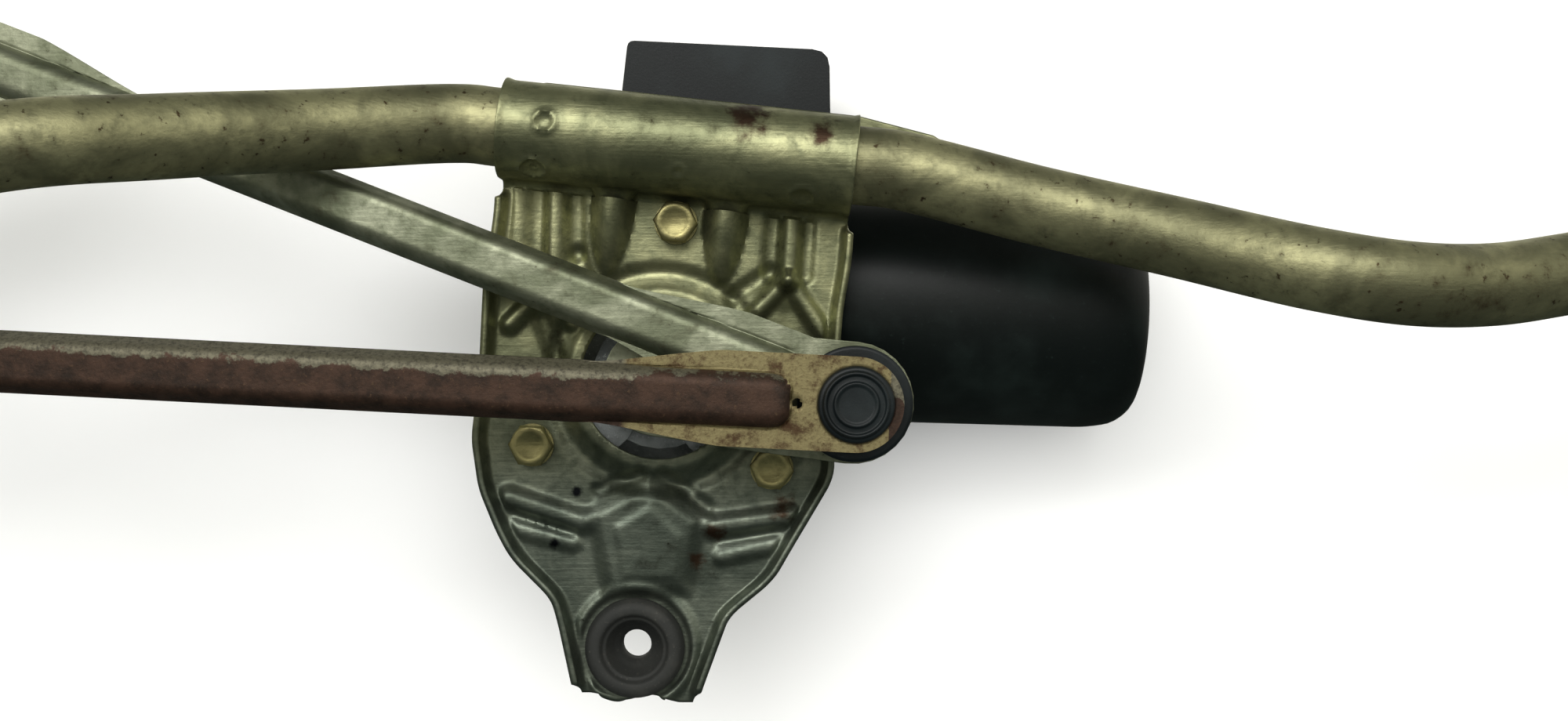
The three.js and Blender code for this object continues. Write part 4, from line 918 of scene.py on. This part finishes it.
# ---- pieces kept from the model ---------------------------------------------------------------------

# The edge radius of each node that only needs its edges rounded, in millimetres.
ROUNDED = {
    "bracket_rear_strap": 0.6, "gearbox_housing": 0.9, "gear_cover": 1.4, "crank_arm": 0.7,
    "crank_nut": 0.5, "right_foot": 0.6, "left_bearing_housing": 0.9, "centre_bearing_housing": 0.9,
    "left_lever": 0.6, "centre_lever": 0.6,
}


def kept_pieces():
    """The shells that only need rounded edges, then a finish for every node that still shows."""
    for name, radius in ROUNDED.items():
        refined(name, radius)
    for name, piece in frame["nodes"].items():
        piece.data.materials.clear()
        piece.data.materials.append(FINISH[SLOT_OF[name]])


# ---- room, light and camera -------------------------------------------------------------------------


def floor():
    """A wide pale board under the object, slightly uneven in tone."""
    material, tree, place, shader = start("matt_pale_board")
    cloud = noise(tree, place, 180, 3)
    colour = blend(tree, between(tree, cloud, 0.3, 0.7), "#f7f7f6", "#f1f1f0")
    tree.links.new(colour, shader.inputs["Base Color"])
    shader.inputs["Roughness"].default_value = 0.9
    half, z = 6.0, cad_low[2] - 0.0005
    corners = [(-half, -half, z), (half, -half, z), (half, half, z), (-half, half, z)]
    mesh = bpy.data.meshes.new("floor")
    mesh.from_pydata(corners, [], [(0, 1, 2, 3)])
    board = bpy.data.objects.new("floor", mesh)
    bpy.context.scene.collection.objects.link(board)
    mesh.materials.append(material)
    board.visible_glossy = False


def panel(name, place, aim, size, power, seen=True):
    """A soft rectangular light aimed at a place. seen tells if glossy metal mirrors it."""
    light = bpy.data.lights.new(name, "AREA")
    light.shape = "RECTANGLE"
    light.size, light.size_y = size
    light.energy = power
    lamp = bpy.data.objects.new(name, light)
    lamp.location = place
    lamp.rotation_euler = (Vector(aim) - Vector(place)).to_track_quat("-Z", "Y").to_euler()
    lamp.visible_glossy = seen
    bpy.context.scene.collection.objects.link(lamp)


def studio():
    """A sky that is dark towards the near side and pale from overhead to the far side, one broad
    window above the object's far side, and a wide overhead light that metal doesn't mirror."""
    world = bpy.data.worlds.new("studio")
    bpy.context.scene.world = world
    bpy.context.scene.view_settings.view_transform = "Standard"
    world.use_nodes = True
    tree = world.node_tree
    ahead = node(tree, "SeparateXYZ", Vector=node(tree, "TexCoord").outputs["Generated"]).outputs["Y"]
    window = between(tree, ahead, -0.25, 0.4)
    beyond = between(tree, ahead, 0.95, 0.5)
    bright = node(tree, "Math", {"operation": "MULTIPLY"}, _0=window, _1=beyond).outputs[0]
    sky = blend(tree, bright, "#3c443f", "#fffdf0")
    tree.links.new(sky, tree.nodes["Background"].inputs["Color"])
    tree.nodes["Background"].inputs["Strength"].default_value = 0.9
    panel("window", (-0.15, 0.7, 1.0), (0.04, 0.07, 0), (1.3, 0.35), 8)
    panel("overhead", (0.04, 0.07, 1.5), (0.04, 0.07, 0), (2, 2), 30, seen=False)


def camera():
    """Straight above the motor, looking down, close enough for the near pieces to look larger."""
    data = bpy.data.cameras.new("camera")
    data.lens = 37.8
    data.sensor_width = 36
    data.clip_start = 0.01
    eye = bpy.data.objects.new("camera", data)
    eye.location = (0.0386, 0.0744, 0.436)
    bpy.context.scene.collection.objects.link(eye)
    bpy.context.scene.camera = eye


# ---- assembly -----------------------------------------------------------------------------------------

camera()
studio()
floor()
frame_tube()
motor_bracket()
link_rod("front_rod", "front_link", "brown_aged_steel", FRONT_PIN_Z, FRONT_ROD)
link_rod("rear_rod", "rear_link", "grey_plated_steel", REAR_PIN_Z, REAR_ROD)
crank_joint()
grommet("lower_grommet", 6, 8)
grommet("right_grommet", 6, 9)
for side, place in BOLTS.items():
    motor_bolt("motor_bolt_" + side, *place)
motor_can()
kept_pieces()
